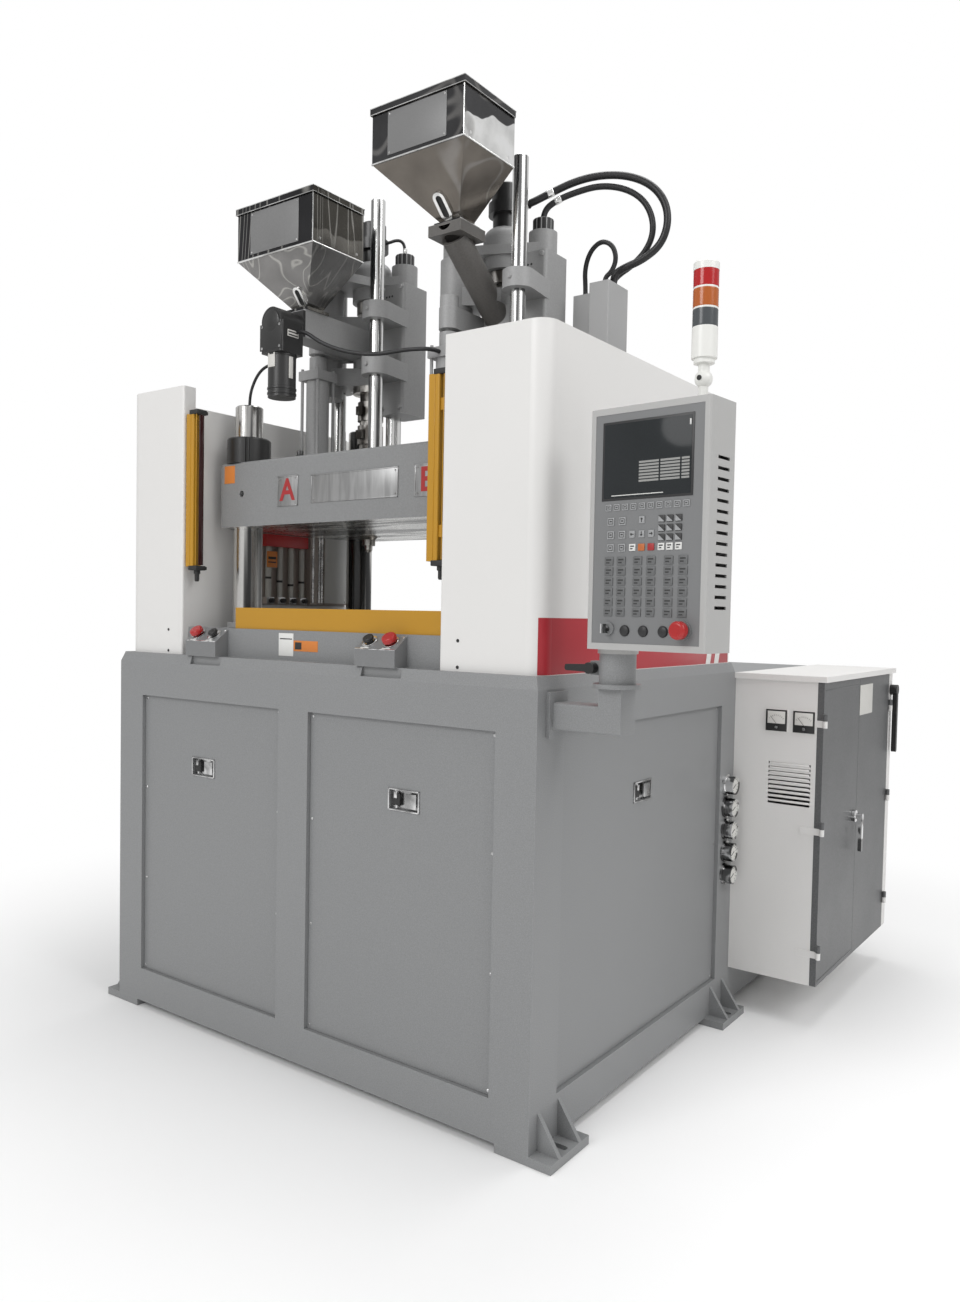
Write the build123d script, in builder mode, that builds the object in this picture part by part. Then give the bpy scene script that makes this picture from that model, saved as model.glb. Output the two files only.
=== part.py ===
from build123d import *
import math
import os

# Vertical injection moulding machine with two injection units over a rotary table.
# Millimetres. X to the right, Y to the back, Z up. The origin is on the floor, in the
# middle of the four feet.

os.makedirs("parts", exist_ok=True)

# fits and clearances
running_fit = 0.05
seat_gap = 0.3
body_gap = 0.5
hole_clearance = 1.0

# machine base
base_width = 1600
base_depth = 1180
foot_thickness = 22
base_top = 1137
frame_wall = 20
deck_thickness = 40
floor_thickness = 12
edge_chamfer_side = 10
edge_chamfer_height = 30
half_width = base_width / 2
front = -590
rear = front + base_depth
panel_bottom = 126
panel_top = 1003
end_post = 116
middle_post = 116
side_post_front = 120
side_post_rear = 100
panel_lip = 25
panel_recess = 12
sheet = 4
pull_width = 101
pull_height = 54
pull_depth = 9
pull_z = 801
pull_offset = 25
side_pull_offset = -40

# feet, outside the base on both sides
foot_reach = 62
foot_inside = 97
foot_length = 174
gusset_height = 90
gusset_thickness = 12
gusset_spacing = 92
anchor_slot_width = 18
anchor_slot_length = 44
anchor_offset = 31

# clamp: four tie bars, fixed platen on the base, moving platen above
platen_width = 968
platen_depth = 639
platen_corner = 12
apron_setback = 49
apron_front = front + apron_setback
apron_thickness = 61
apron_back = apron_front + apron_thickness
platen_gap = 24
platen_front = apron_back + platen_gap
platen_rear = platen_front + platen_depth
platen_y = (platen_front + platen_rear) / 2
fixed_platen_thickness = 85
fixed_platen_top = base_top + fixed_platen_thickness
moving_platen_bottom = 1533
moving_platen_thickness = 198
moving_platen_top = moving_platen_bottom + moving_platen_thickness
pocket_half_width = 90
pocket_front = -250
pocket_back = 120
pocket_depth = 90
eye_hole_inset = 104
eye_hole_rise = 100
eye_hole_diameter = 20
eye_hole_depth = 40
tie_inset = 63
tie_back_inset = 68
tie_x = platen_width / 2 - tie_inset
tie_front_y = platen_front + tie_inset
tie_back_y = platen_rear - tie_back_inset
tie_diameter = 90
tie_thread_diameter = 85
tie_foot_diameter = 76
tie_stub = 181
tie_top = moving_platen_top + tie_stub
tie_bottom = 262
tie_nut_diameter = 135
tie_nut_height = 80
foot_nut_height = 60
bush_flange_diameter = 124
bush_flange_thickness = 16
crosshead_bottom = 330
crosshead_thickness = 120
crosshead_top = crosshead_bottom + crosshead_thickness
ram_diameter = 170
clamp_cylinder_diameter = 300
clamp_cylinder_bottom = 700
ram_top = 1040

# rotary table, clear of the tie bars
table_inset = 61
table_radius = tie_x - table_inset
table_thickness = 46
table_gap = 8
table_bottom = fixed_platen_top + table_gap
table_top = table_bottom + table_thickness
table_spigot_diameter = 150
table_spigot_length = 60
mould_bolt_spacing = 220
mould_bolt_diameter = 14

# injection units, one on each side of the middle; heights build up from the moving platen
unit_inset = 214
unit_x = platen_width / 2 - unit_inset
carriage_lift = 297
carriage_bottom = moving_platen_top + carriage_lift
lower_plate_thickness = 57
lower_plate_top = carriage_bottom + lower_plate_thickness
plate_gap = 116
upper_plate_bottom = lower_plate_top + plate_gap
upper_plate_thickness = 53
upper_plate_top = upper_plate_bottom + upper_plate_thickness
throat_diameter = 120
lug_diameter = 92
rod_dx = 140
rod_dy = -130
rod_back_dx = -140
rod_back_dy = -5
rod_diameter = 45
rod_flange_diameter = 88
rod_flange_thickness = 22
rod_above_plate = 321
rod_top = upper_plate_top + rod_above_plate
lift_dx = -72
lift_dy = -176
lift_body = 88
lift_cap_diameter = 56
lift_rod_diameter = 26
lift_lug_rise = 25
lift_lug_bottom = lower_plate_top + lift_lug_rise
lift_lug_thickness = 62
lift_lug_top = lift_lug_bottom + lift_lug_thickness
lift_lug_diameter = 60
lift_cap_gap = 10
lift_cap_top = lift_lug_bottom - lift_cap_gap
lift_cap_height = 46
lift_body_top = lift_cap_top - lift_cap_height
lift_nut_diameter = 56
lift_nut_height = 33
prop_dx = 85
prop_dy = 20
prop_diameter = 50
prop_flange_diameter = 76
barrel_diameter = 72
barrel_bore = 45
nozzle_below_platen = 53
barrel_bottom = moving_platen_bottom - nozzle_below_platen
barrel_flange_diameter = 118
barrel_flange_thickness = 22
nozzle_bore = 4
heater_diameter = 86
heater_height = 62
heater_pitch = 78
ram_right = (120, 25)
ram_left = (-120, -80)
ram_rod_diameter = 32
casting_left = 70
casting_right = 171
casting_front = -35
casting_back = 85
casting_below_plate = 103
casting_bottom = carriage_bottom - casting_below_plate
casting_above_plate = 89
casting_top = upper_plate_top + casting_above_plate
prop_in_casting = 135
prop_top = casting_bottom + prop_in_casting
casting_corner = 10
round_cylinder_diameter = 100
round_cylinder_below_plate = 38
round_cylinder_bottom = carriage_bottom - round_cylinder_below_plate
ram_rod_engaged = 153
ram_rod_bottom = casting_top - ram_rod_engaged
ram_nut_diameter = 60
ram_nut_height = 38
head_gap = 3
head_plate_bottom = casting_top + head_gap
head_plate_thickness = 28
head_plate_top = head_plate_bottom + head_plate_thickness
hub_below_plate = 38
head_bottom = head_plate_bottom - hub_below_plate
ram_boss_diameter = 85
ram_boss_height = 39
ram_boss_top = head_plate_top + ram_boss_height
hub_diameter = 130
dome_diameter = 132
dome_height = 65
dome_top = head_plate_top + dome_height
neck_diameter = 76
neck_height = 41
neck_top = dome_top + neck_height
ring_diameter = 104
ring_height = 35
ring_top = neck_top + ring_height
screw_motor_diameter = 86
screw_motor_height = 56
screw_motor_top = ring_top + screw_motor_height
coupling_diameter = 100
coupling_gap = 13
coupling_bottom = upper_plate_top + coupling_gap
drum_dx = -46
drum_dy = -150
drum_diameter = 98
drum_height = 138
drum_top = head_plate_top + drum_height

# feed of the left unit: hopper over a level auger housing with a geared motor
hopper_wall = 2
hopper_a_y = -328
hopper_a_width = 327
hopper_a_depth = 213
hopper_straight = 157
outlet_a_y = -293
outlet_flange = 92
outlet_flange_thickness = 9
outlet_bore = 56
feeder_width = 80
feeder_rise = 30
feeder_bottom = lower_plate_top + feeder_rise
feeder_height = 85
feeder_top = feeder_bottom + feeder_height
feed_z = (feeder_bottom + feeder_top) / 2
feeder_front = -341
feeder_bore = 50
outlet_a_z = feeder_top + outlet_flange_thickness
hopper_a_height = 298
hopper_a_top = outlet_a_z + hopper_a_height
motor_width = 92
motor_flange = 10
motor_y_back = feeder_front - motor_flange
motor_y_front = motor_y_back - motor_width - 1
gearbox_bottom = feeder_bottom - 63
motor_height = 129
motor_bottom = gearbox_bottom - motor_height
motor_top = feeder_top - 12

# feed of the right unit: hopper over a slanted tube
hopper_b_y = -307
hopper_b_width = 319
hopper_b_depth = 230
hopper_b_straight = 148
outlet_b_y = -239
outlet_b_rise = 122
outlet_b_z = upper_plate_top + outlet_b_rise
hopper_b_height = 288
hopper_b_top = outlet_b_z + hopper_b_height
chute_flange = 115
chute_flange_thickness = 31
chute_diameter = 80
chute_bore = 56
chute_end_z = carriage_bottom + 114

# lids
lid_thickness = 3
lid_skirt = 16
lid_overhang = 5
lid_hinge_diameter = 10
lid_hinge_rise = 4
lid_pin_diameter = 4

# upright covers left and right of the mould space
cover_setback = 25
cover_front = front + cover_setback
cover_side_setback = 10
cover_outer = half_width - cover_side_setback
cover_back_setback = 36
cover_back = rear - cover_back_setback
left_cover_clearance = 38
left_cover_inner = platen_width / 2 + left_cover_clearance
right_cover_clearance = 8
right_cover_inner = platen_width / 2 + right_cover_clearance
cover_top = 1960
inner_panel_top = 1899
left_panel_back = 150
right_panel_back = -20
cover_sheet = 6
cover_corner = 45

# light curtains, guard bar and button boxes
curtain_width = 36
curtain_depth = 33
curtain_bottom = 1408
curtain_top = 1872
left_curtain_x = 20 - left_cover_inner
right_curtain_x = right_cover_inner - 38
curtain_front = cover_front + 8
apron_top = fixed_platen_top
bar_left = 211 - left_cover_inner
bar_right = right_cover_inner - 6
bar_height = 62
bar_thickness = 20
button_box_width = 138
button_box_front_height = 44
button_box_back_height = 81
left_box_x = 120 - left_cover_inner
right_box_x = right_cover_inner - 194
button_spacing = 37
button_wall = 4
mushroom_diameter = 40
mushroom_neck = 18
start_diameter = 30
collar_diameter = 42
button_travel = 5

# rear housing and control cabinet
housing_front = rear
housing_depth = 840
housing_back = housing_front + housing_depth
housing_top = 1100
housing_sheet = 3
cabinet_depth = 285
cabinet_front = housing_front + 10
cabinet_back = housing_back
cabinet_bottom = 135
cabinet_top = 1087
cabinet_sheet = 3
cabinet_lid = 18
cabinet_lid_overhang = 10
louvre_left = half_width + 116
louvre_width = 134
louvre_bottom = 694
louvre_slot = 7
dial_left = half_width + 139
dial_pitch = 87
dial_size = 68
dial_bottom = 926
door_thickness = 20
front_leaf = 394
door_split = cabinet_front + front_leaf
switch_strip = 46
door_rear_end = cabinet_back - switch_strip
hinge_diameter = 14
hinge_pin_diameter = 6
hinge_length = 42

# panel on its arm
post_x = half_width + 157
post_y = front + 85
post_diameter = 83
arm_bottom = 1013
arm_top = 1077
arm_bracket_bottom = 994
arm_bracket_top = 1101
arm_depth = 70
upright_width = 57
upright_top = 1117
post_bottom = 1127
post_top = 1195
hmi_left = -36
hmi_right = 256
hmi_front = -74
hmi_back = 36
hmi_bottom = 1206
hmi_top = 1728
hmi_turn = -5
hmi_sheet = 3

# terminal box on the moving platen
terminal_gap = 47
terminal_left = platen_width / 2 + terminal_gap
terminal_depth = 65
terminal_right = terminal_left + terminal_depth
terminal_side_depth = 62
terminal_side = terminal_left - terminal_side_depth
terminal_width = 120
terminal_back = platen_rear - 3
terminal_front = terminal_back - terminal_width
terminal_rise = 69
terminal_bottom = moving_platen_top + terminal_rise
terminal_height = 452
terminal_top = terminal_bottom + terminal_height
terminal_side_top = terminal_top - 24
terminal_side_bottom = terminal_bottom + 210
terminal_bracket = 8
terminal_shelf = 12
terminal_shelf_rise = 60

# flow meters on the left inner cover
meter_plate_front = -256
meter_plate_back = 144
meter_plate_bottom = 1296
meter_plate_top = 1560
meter_plate_thickness = 3
meter_count = 4
meter_pitch = 50
meter_inset = 24
meter_tube_diameter = 18
meter_tube_offset = 15
meter_body_width = 32
meter_body_depth = 23
meter_body_bottom = 4
meter_body_height = 22
meter_top_drop = 48
meter_top_height = 20
valve_panel_front = -50
valve_panel_back = 10
valve_panel_depth = 24
valve_panel_top_drop = 18
switch_panel_front = 22
switch_panel_back = 140
switch_panel_depth = 15
switch_panel_top_drop = 13

# derived places
tie_places = [(x, y) for x in (-tie_x, tie_x) for y in (tie_front_y, tie_back_y)]
low = (Align.MIN, Align.MIN, Align.MIN)
upright = (Align.CENTER, Align.CENTER, Align.MIN)


def block(x0, x1, y0, y1, z0, z1, mode=Mode.ADD):
    """Rectangular block between three pairs of faces."""
    with Locations((min(x0, x1), y0, z0)):
        Box(abs(x1 - x0), y1 - y0, z1 - z0, align=low, mode=mode)


def drum(x, y, z0, z1, diameter, mode=Mode.ADD):
    """Upright cylinder from z0 to z1."""
    with Locations((x, y, z0)):
        Cylinder(diameter / 2, z1 - z0, align=upright, mode=mode)


def shaft_y(x, z, y0, y1, diameter, mode=Mode.ADD):
    """Level cylinder along Y."""
    with Locations(Location((x, y0, z), (-90, 0, 0))):
        Cylinder(diameter / 2, y1 - y0, align=upright, mode=mode)


def shaft_x(y, z, x0, x1, diameter, mode=Mode.ADD):
    """Level cylinder along X."""
    with Locations(Location((x0, y, z), (0, 90, 0))):
        Cylinder(diameter / 2, x1 - x0, align=upright, mode=mode)


def save(piece, label):
    """Label a finished sub-part and write it."""
    piece.part.label = label
    export_step(piece.part, f"parts/{label}.step")


# machine base: welded box frame with panel openings, deck, feet and front apron
with BuildPart() as base_frame:
    block(-half_width, half_width, front, rear, foot_thickness, base_top)
    rim = base_frame.faces().sort_by(Axis.Z)[-1]
    chamfer(rim.edges(), length=edge_chamfer_side, length2=edge_chamfer_height, reference=rim)
    block(-half_width + frame_wall, half_width - frame_wall, front + frame_wall, rear - frame_wall,
          foot_thickness + floor_thickness, base_top - deck_thickness, mode=Mode.SUBTRACT)
    for side in (-1, 1):
        # front panel opening with a seat for the panel and screw lips at both ends
        x0 = side * middle_post / 2
        x1 = side * (half_width - end_post)
        block(x0, x1, front, front + panel_recess + sheet, panel_bottom, panel_top, mode=Mode.SUBTRACT)
        block(x0 + side * panel_lip, x1 - side * panel_lip, front, front + frame_wall,
              panel_bottom, panel_top, mode=Mode.SUBTRACT)
        # side panel opening
        y0 = front + side_post_front
        y1 = rear - side_post_rear
        outer = side * half_width
        block(outer - side * (panel_recess + sheet), outer, y0, y1, panel_bottom, panel_top,
              mode=Mode.SUBTRACT)
        block(outer - side * frame_wall, outer, y0 + panel_lip, y1 - panel_lip,
              panel_bottom, panel_top, mode=Mode.SUBTRACT)
    # notches in the front edge under the button boxes
    for box_x in (left_box_x, right_box_x):
        block(box_x - button_box_width / 2 + 20, box_x + button_box_width / 2 + 20, front,
              front + 14, base_top - 26, base_top, mode=Mode.SUBTRACT)
    # holes for the tie bars
    with Locations(*[(x, y, base_top) for x, y in tie_places]):
        Hole(tie_diameter / 2 + 10, depth=deck_thickness)
save(base_frame, "base_frame")

# feet: plate with two gussets and an anchor slot between them
with BuildPart() as base_feet:
    for side in (-1, 1):
        for foot_y in (front + foot_length / 2, rear - foot_length / 2):
            block(side * (half_width - foot_inside), side * (half_width + foot_reach),
                  foot_y - foot_length / 2, foot_y + foot_length / 2, 0, foot_thickness)
            for along in (-gusset_spacing / 2, gusset_spacing / 2):
                with BuildSketch(Plane.XZ.offset(-(foot_y + along + gusset_thickness / 2))):
                    with BuildLine():
                        Polyline((side * half_width, foot_thickness),
                                 (side * (half_width + foot_reach), foot_thickness),
                                 (side * half_width, foot_thickness + gusset_height), close=True)
                    make_face()
                extrude(amount=gusset_thickness)
    with BuildSketch():
        with Locations((0, (front + rear) / 2)):
            with GridLocations(base_width + 2 * anchor_offset, base_depth - foot_length, 2, 2):
                SlotOverall(anchor_slot_length, anchor_slot_width)
    extrude(amount=foot_thickness, mode=Mode.SUBTRACT)
save(base_feet, "base_feet")

# removable panels: trays in the openings, each with a recessed pull, and the bolted apron
with BuildPart() as base_panels:
    for side in (-1, 1):
        x0 = side * (middle_post / 2 + hole_clearance)
        x1 = side * (half_width - end_post - hole_clearance)
        seat = front + panel_recess + sheet
        block(x0, x1, seat - sheet, seat, panel_bottom + hole_clearance, panel_top - hole_clearance)
        pull_x = (x0 + x1) / 2 + side * pull_offset
        block(pull_x - pull_width / 2, pull_x + pull_width / 2, seat, seat + pull_depth,
              pull_z - pull_height / 2, pull_z + pull_height / 2)
        block(pull_x - pull_width / 2 + sheet / 2, pull_x + pull_width / 2 - sheet / 2, seat - sheet,
              seat + pull_depth - sheet / 2, pull_z - pull_height / 2 + sheet / 2,
              pull_z + pull_height / 2 - sheet / 2, mode=Mode.SUBTRACT)
        y0 = front + side_post_front + hole_clearance
        y1 = rear - side_post_rear - hole_clearance
        outer = side * (half_width - panel_recess)
        block(outer - side * sheet, outer, y0, y1, panel_bottom + hole_clearance,
              panel_top - hole_clearance)
        side_pull_y = (y0 + y1) / 2 + side_pull_offset
        block(outer - side * (sheet + pull_depth), outer - side * sheet, side_pull_y - pull_width / 2,
              side_pull_y + pull_width / 2, pull_z - pull_height / 2, pull_z + pull_height / 2)
        block(outer - side * (sheet / 2 + pull_depth), outer, side_pull_y - pull_width / 2 + sheet / 2,
              side_pull_y + pull_width / 2 - sheet / 2, pull_z - pull_height / 2 + sheet / 2,
              pull_z + pull_height / 2 - sheet / 2, mode=Mode.SUBTRACT)
    # apron under the guard bar
    block(-left_cover_inner + hole_clearance, right_cover_inner - hole_clearance, apron_front,
          apron_back, base_top, apron_top)
save(base_panels, "base_panels")

# fixed platen, bolted on the deck, with flanged bushes for the tie bars
with BuildPart() as fixed_platen:
    block(-platen_width / 2, platen_width / 2, platen_front, platen_rear, base_top, fixed_platen_top)
    fillet(fixed_platen.edges().filter_by(Axis.Z), platen_corner)
    chamfer(fixed_platen.faces().sort_by(Axis.Z)[-1].edges(), 4)
    for x, y in tie_places:
        drum(x, y, fixed_platen_top, fixed_platen_top + bush_flange_thickness, bush_flange_diameter)
        drum(x, y, base_top - 1, fixed_platen_top + bush_flange_thickness + 1,
             tie_diameter + 2 * running_fit, mode=Mode.SUBTRACT)
    drum(0, 0, fixed_platen_top - table_spigot_length - 5, fixed_platen_top,
         table_spigot_diameter + 2 * running_fit, mode=Mode.SUBTRACT)
save(fixed_platen, "fixed_platen")

# rotary table: disc on a spigot, with a thrust ring, a rim groove and mould bolt holes
with BuildPart() as rotary_table:
    drum(0, 0, table_bottom, table_top, 2 * table_radius)
    chamfer(rotary_table.edges().filter_by(GeomType.CIRCLE), 3)
    drum(0, 0, fixed_platen_top + seat_gap, table_bottom, table_radius)
    drum(0, 0, fixed_platen_top - table_spigot_length, table_bottom, table_spigot_diameter)
    with Locations((-unit_x, 0, table_top), (unit_x, 0, table_top)):
        Hole(16, depth=20)
    with Locations((0, 0, table_top)):
        Hole(22, depth=30)
    with Locations((-unit_x, 0, table_top), (unit_x, 0, table_top)):
        with GridLocations(mould_bolt_spacing / 2, mould_bolt_spacing, 2, 2):
            Hole(mould_bolt_diameter / 2, depth=28)
save(rotary_table, "rotary_table")

# moving platen: thick casting, ribbed pockets on top, through bores for bars and barrels
with BuildPart() as moving_platen:
    block(-platen_width / 2, platen_width / 2, platen_front, platen_rear, moving_platen_bottom,
          moving_platen_top)
    fillet(moving_platen.edges().filter_by(Axis.Z), platen_corner)
    chamfer(moving_platen.faces().sort_by(Axis.Z)[-1].edges(), 6)
    with Locations(*[(x, y, moving_platen_top) for x, y in tie_places]):
        Hole(tie_thread_diameter / 2 + running_fit, depth=moving_platen_thickness)
    with Locations((-unit_x, 0, moving_platen_top), (unit_x, 0, moving_platen_top)):
        CounterBoreHole(barrel_diameter / 2 + 4, heater_diameter / 2 + 6, 90,
                        depth=moving_platen_thickness)
    # pocket between the two units
    block(-pocket_half_width, pocket_half_width, pocket_front, pocket_back,
          moving_platen_top - pocket_depth, moving_platen_top, mode=Mode.SUBTRACT)
    # lifting eye holes in the front face
    eye_x = platen_width / 2 - eye_hole_inset
    with Locations(*[Location((x, platen_front, moving_platen_bottom + eye_hole_rise), (90, 0, 0))
                     for x in (-eye_x, eye_x)]):
        Hole(eye_hole_diameter / 2, depth=eye_hole_depth)
save(moving_platen, "moving_platen")

# tie bars: shouldered at both platens, threaded ends
with BuildPart() as tie_bars:
    for x, y in tie_places:
        drum(x, y, tie_bottom, crosshead_top, tie_foot_diameter)
        drum(x, y, crosshead_top, moving_platen_bottom, tie_diameter)
        drum(x, y, moving_platen_bottom, tie_top, tie_thread_diameter)
    chamfer(tie_bars.faces().filter_by(Plane.XY).group_by(Axis.Z)[-1].edges(), 4)
save(tie_bars, "tie_bars")

# tie bar nuts, above the moving platen and under the crosshead
with BuildPart() as tie_nuts:
    for x, y in tie_places:
        drum(x, y, moving_platen_top, moving_platen_top + tie_nut_height, tie_nut_diameter)
        drum(x, y, crosshead_bottom - foot_nut_height, crosshead_bottom, tie_nut_diameter)
    chamfer(tie_nuts.faces().filter_by(Plane.XY).group_by(Axis.Z)[-1].edges(), 5)
    for x, y in tie_places:
        drum(x, y, moving_platen_top, moving_platen_top + tie_nut_height,
             tie_thread_diameter + 2 * running_fit, mode=Mode.SUBTRACT)
        drum(x, y, crosshead_bottom - foot_nut_height, crosshead_bottom,
             tie_foot_diameter + 2 * running_fit, mode=Mode.SUBTRACT)
        # spanner slots round the upper nut
        for turn in range(4):
            angle = math.radians(45 + 90 * turn)
            drum(x + tie_nut_diameter / 2 * math.cos(angle), y + tie_nut_diameter / 2 * math.sin(angle),
                 moving_platen_top, moving_platen_top + tie_nut_height, 14, mode=Mode.SUBTRACT)
save(tie_nuts, "tie_nuts")

# lower crosshead with the clamp ram standing on it
with BuildPart() as lower_crosshead:
    block(-platen_width / 2, platen_width / 2, platen_front, platen_rear, crosshead_bottom,
          crosshead_top)
    fillet(lower_crosshead.edges().filter_by(Axis.Z), platen_corner)
    with Locations(*[(x, y, crosshead_top) for x, y in tie_places]):
        Hole(tie_foot_diameter / 2 + running_fit, depth=crosshead_thickness)
    drum(0, platen_y, crosshead_top, crosshead_top + 30, ram_diameter + 60)
    drum(0, platen_y, crosshead_top, ram_top, ram_diameter)
save(lower_crosshead, "lower_crosshead")

# clamp cylinder, hung from the deck, open at its lower end for the ram
with BuildPart() as clamp_cylinder:
    drum(0, platen_y, clamp_cylinder_bottom, base_top - deck_thickness, clamp_cylinder_diameter)
    drum(0, platen_y, base_top - deck_thickness - 35, base_top - deck_thickness,
         clamp_cylinder_diameter + 90)
    drum(0, platen_y, clamp_cylinder_bottom, ram_top + 10, ram_diameter + 2 * running_fit,
         mode=Mode.SUBTRACT)
    chamfer(clamp_cylinder.faces().sort_by(Axis.Z)[0].edges().sort_by(SortBy.LENGTH)[-1], 8)
save(clamp_cylinder, "clamp_cylinder")

# guide rods of both units and the fixed rams under the carriages' castings, with flanges
with BuildPart() as guide_rods:
    for x in (-unit_x, unit_x):
        for dx, dy in ((rod_dx, rod_dy), (rod_back_dx, rod_back_dy)):
            drum(x + dx, dy, moving_platen_top, rod_top, rod_diameter)
            drum(x + dx, dy, moving_platen_top, moving_platen_top + rod_flange_thickness,
                 rod_flange_diameter)
    chamfer(guide_rods.faces().filter_by(Plane.XY).group_by(Axis.Z)[-1].edges(), 3)
    for x in (-unit_x, unit_x):
        drum(x + prop_dx, prop_dy, moving_platen_top, prop_top, prop_diameter)
        drum(x + prop_dx, prop_dy, moving_platen_top, moving_platen_top + rod_flange_thickness,
             prop_flange_diameter)
save(guide_rods, "guide_rods")

# carriage lift cylinders: square heads joined by four tie rods round the tube
with BuildPart() as lift_cylinders:
    for x in (-unit_x, unit_x):
        cx = x + lift_dx
        half = lift_body / 2
        block(cx - half, cx + half, lift_dy - half, lift_dy + half, moving_platen_top,
              moving_platen_top + 34)
        block(cx - half, cx + half, lift_dy - half, lift_dy + half, lift_body_top - 30, lift_body_top)
        drum(cx, lift_dy, moving_platen_top, lift_body_top, lift_body - 14)
        drum(cx, lift_dy, lift_body_top, lift_cap_top, lift_cap_diameter)
        for ax in (-1, 1):
            for ay in (-1, 1):
                drum(cx + ax * (half - 9), lift_dy + ay * (half - 9), moving_platen_top,
                     lift_body_top + 8, 10)
        drum(cx, lift_dy, moving_platen_top + 40, lift_cap_top,
             lift_rod_diameter + 2 * running_fit, mode=Mode.SUBTRACT)
save(lift_cylinders, "lift_cylinders")


def make_carriage(x, label):
    """Carriage casting: two lugged plates, throat, square and round injection cylinders."""
    lugs = ((rod_dx, rod_dy), ram_right, (0, 0), ram_left, (rod_back_dx, rod_back_dy))
    with BuildPart() as carriage:
        for bottom, top in ((carriage_bottom, lower_plate_top), (upper_plate_bottom, upper_plate_top)):
            with BuildSketch(Plane.XY.offset(bottom)):
                for start, end in zip(lugs, lugs[1:]):
                    arm = Vector(*end) - Vector(*start)
                    with Locations(Vector(x, 0) + (Vector(*start) + Vector(*end)) / 2):
                        SlotCenterToCenter(arm.length, lug_diameter,
                                           rotation=math.degrees(math.atan2(arm.Y, arm.X)))
            extrude(amount=top - bottom)
        # throat between the plates, where the material comes in
        drum(x, 0, lower_plate_top, upper_plate_bottom, throat_diameter)
        # lug for the lift cylinder's rod
        with BuildSketch(Plane.XY.offset(lift_lug_bottom)):
            with Locations((x + lift_dx, lift_dy)):
                Circle(lift_lug_diameter / 2)
            with BuildLine():
                Polyline((x + lift_dx - lift_lug_diameter / 2, lift_dy),
                         (x + lift_dx + lift_lug_diameter / 2, lift_dy),
                         (x - feeder_width / 2 - 4, ram_left[1] / 2), (x + ram_left[0], ram_left[1]),
                         close=True)
            make_face()
        extrude(amount=lift_lug_top - lift_lug_bottom)
        # square casting on the right and round cylinder on the left
        with BuildSketch(Plane.XY.offset(casting_bottom)):
            with Locations((x + (casting_left + casting_right) / 2, (casting_front + casting_back) / 2)):
                RectangleRounded(casting_right - casting_left, casting_back - casting_front,
                                 casting_corner)
        extrude(amount=casting_top - casting_bottom)
        drum(x + ram_left[0], ram_left[1], round_cylinder_bottom, casting_top, round_cylinder_diameter)
        # bores
        for dx, dy in ((rod_dx, rod_dy), (rod_back_dx, rod_back_dy)):
            drum(x + dx, dy, carriage_bottom, upper_plate_top, rod_diameter + 2 * running_fit,
                 mode=Mode.SUBTRACT)
        drum(x, 0, carriage_bottom, upper_plate_top, barrel_bore + 2 * hole_clearance,
             mode=Mode.SUBTRACT)
        drum(x + prop_dx, prop_dy, casting_bottom, prop_top + 10, prop_diameter + 2 * running_fit,
             mode=Mode.SUBTRACT)
        for dx, dy in (ram_left, ram_right):
            drum(x + dx, dy, ram_rod_bottom - 10, casting_top, ram_rod_diameter + 2 * running_fit,
                 mode=Mode.SUBTRACT)
        # lift rod with its nut, screwed into the lug
        drum(x + lift_dx, lift_dy, moving_platen_top + 60, lift_lug_top, lift_rod_diameter)
        drum(x + lift_dx, lift_dy, lift_lug_top, lift_lug_top + lift_nut_height, lift_nut_diameter)
        # feed opening in the front of the throat
        shaft_y(x, feed_z, -throat_diameter, 0, feeder_bore, mode=Mode.SUBTRACT)
    save(carriage, label)


def make_barrel(x, label):
    """Barrel: flanged tube with heater bands, drawn down to the nozzle."""
    with BuildPart() as barrel:
        with BuildSketch(Plane.XZ.offset(0)):
            with BuildLine():
                Polyline((x + nozzle_bore / 2, barrel_bottom), (x + 9, barrel_bottom),
                         (x + 13, barrel_bottom + 8), (x + 13, barrel_bottom + 22),
                         (x + 22, barrel_bottom + 22), (x + 22, barrel_bottom + 42),
                         (x + barrel_diameter / 2, barrel_bottom + 56),
                         (x + barrel_diameter / 2, carriage_bottom - barrel_flange_thickness),
                         (x + barrel_flange_diameter / 2, carriage_bottom - barrel_flange_thickness),
                         (x + barrel_flange_diameter / 2, carriage_bottom),
                         (x + barrel_bore / 2, carriage_bottom),
                         (x + barrel_bore / 2, barrel_bottom + 66),
                         (x + nozzle_bore / 2, barrel_bottom + 44), close=True)
            make_face()
        revolve(axis=Axis((x, 0, 0), (0, 0, 1)))
        for band in range(3):
            z0 = moving_platen_top + 30 + band * heater_pitch
            with BuildSketch(Plane.XY.offset(z0)):
                with Locations((x, 0)):
                    Circle(heater_diameter / 2)
                    Circle(barrel_diameter / 2, mode=Mode.SUBTRACT)
            extrude(amount=heater_height)
            block(x - 14, x + 14, -heater_diameter / 2 - 14, -heater_diameter / 2 + 4, z0 + 16, z0 + 44)
    save(barrel, label)


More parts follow.
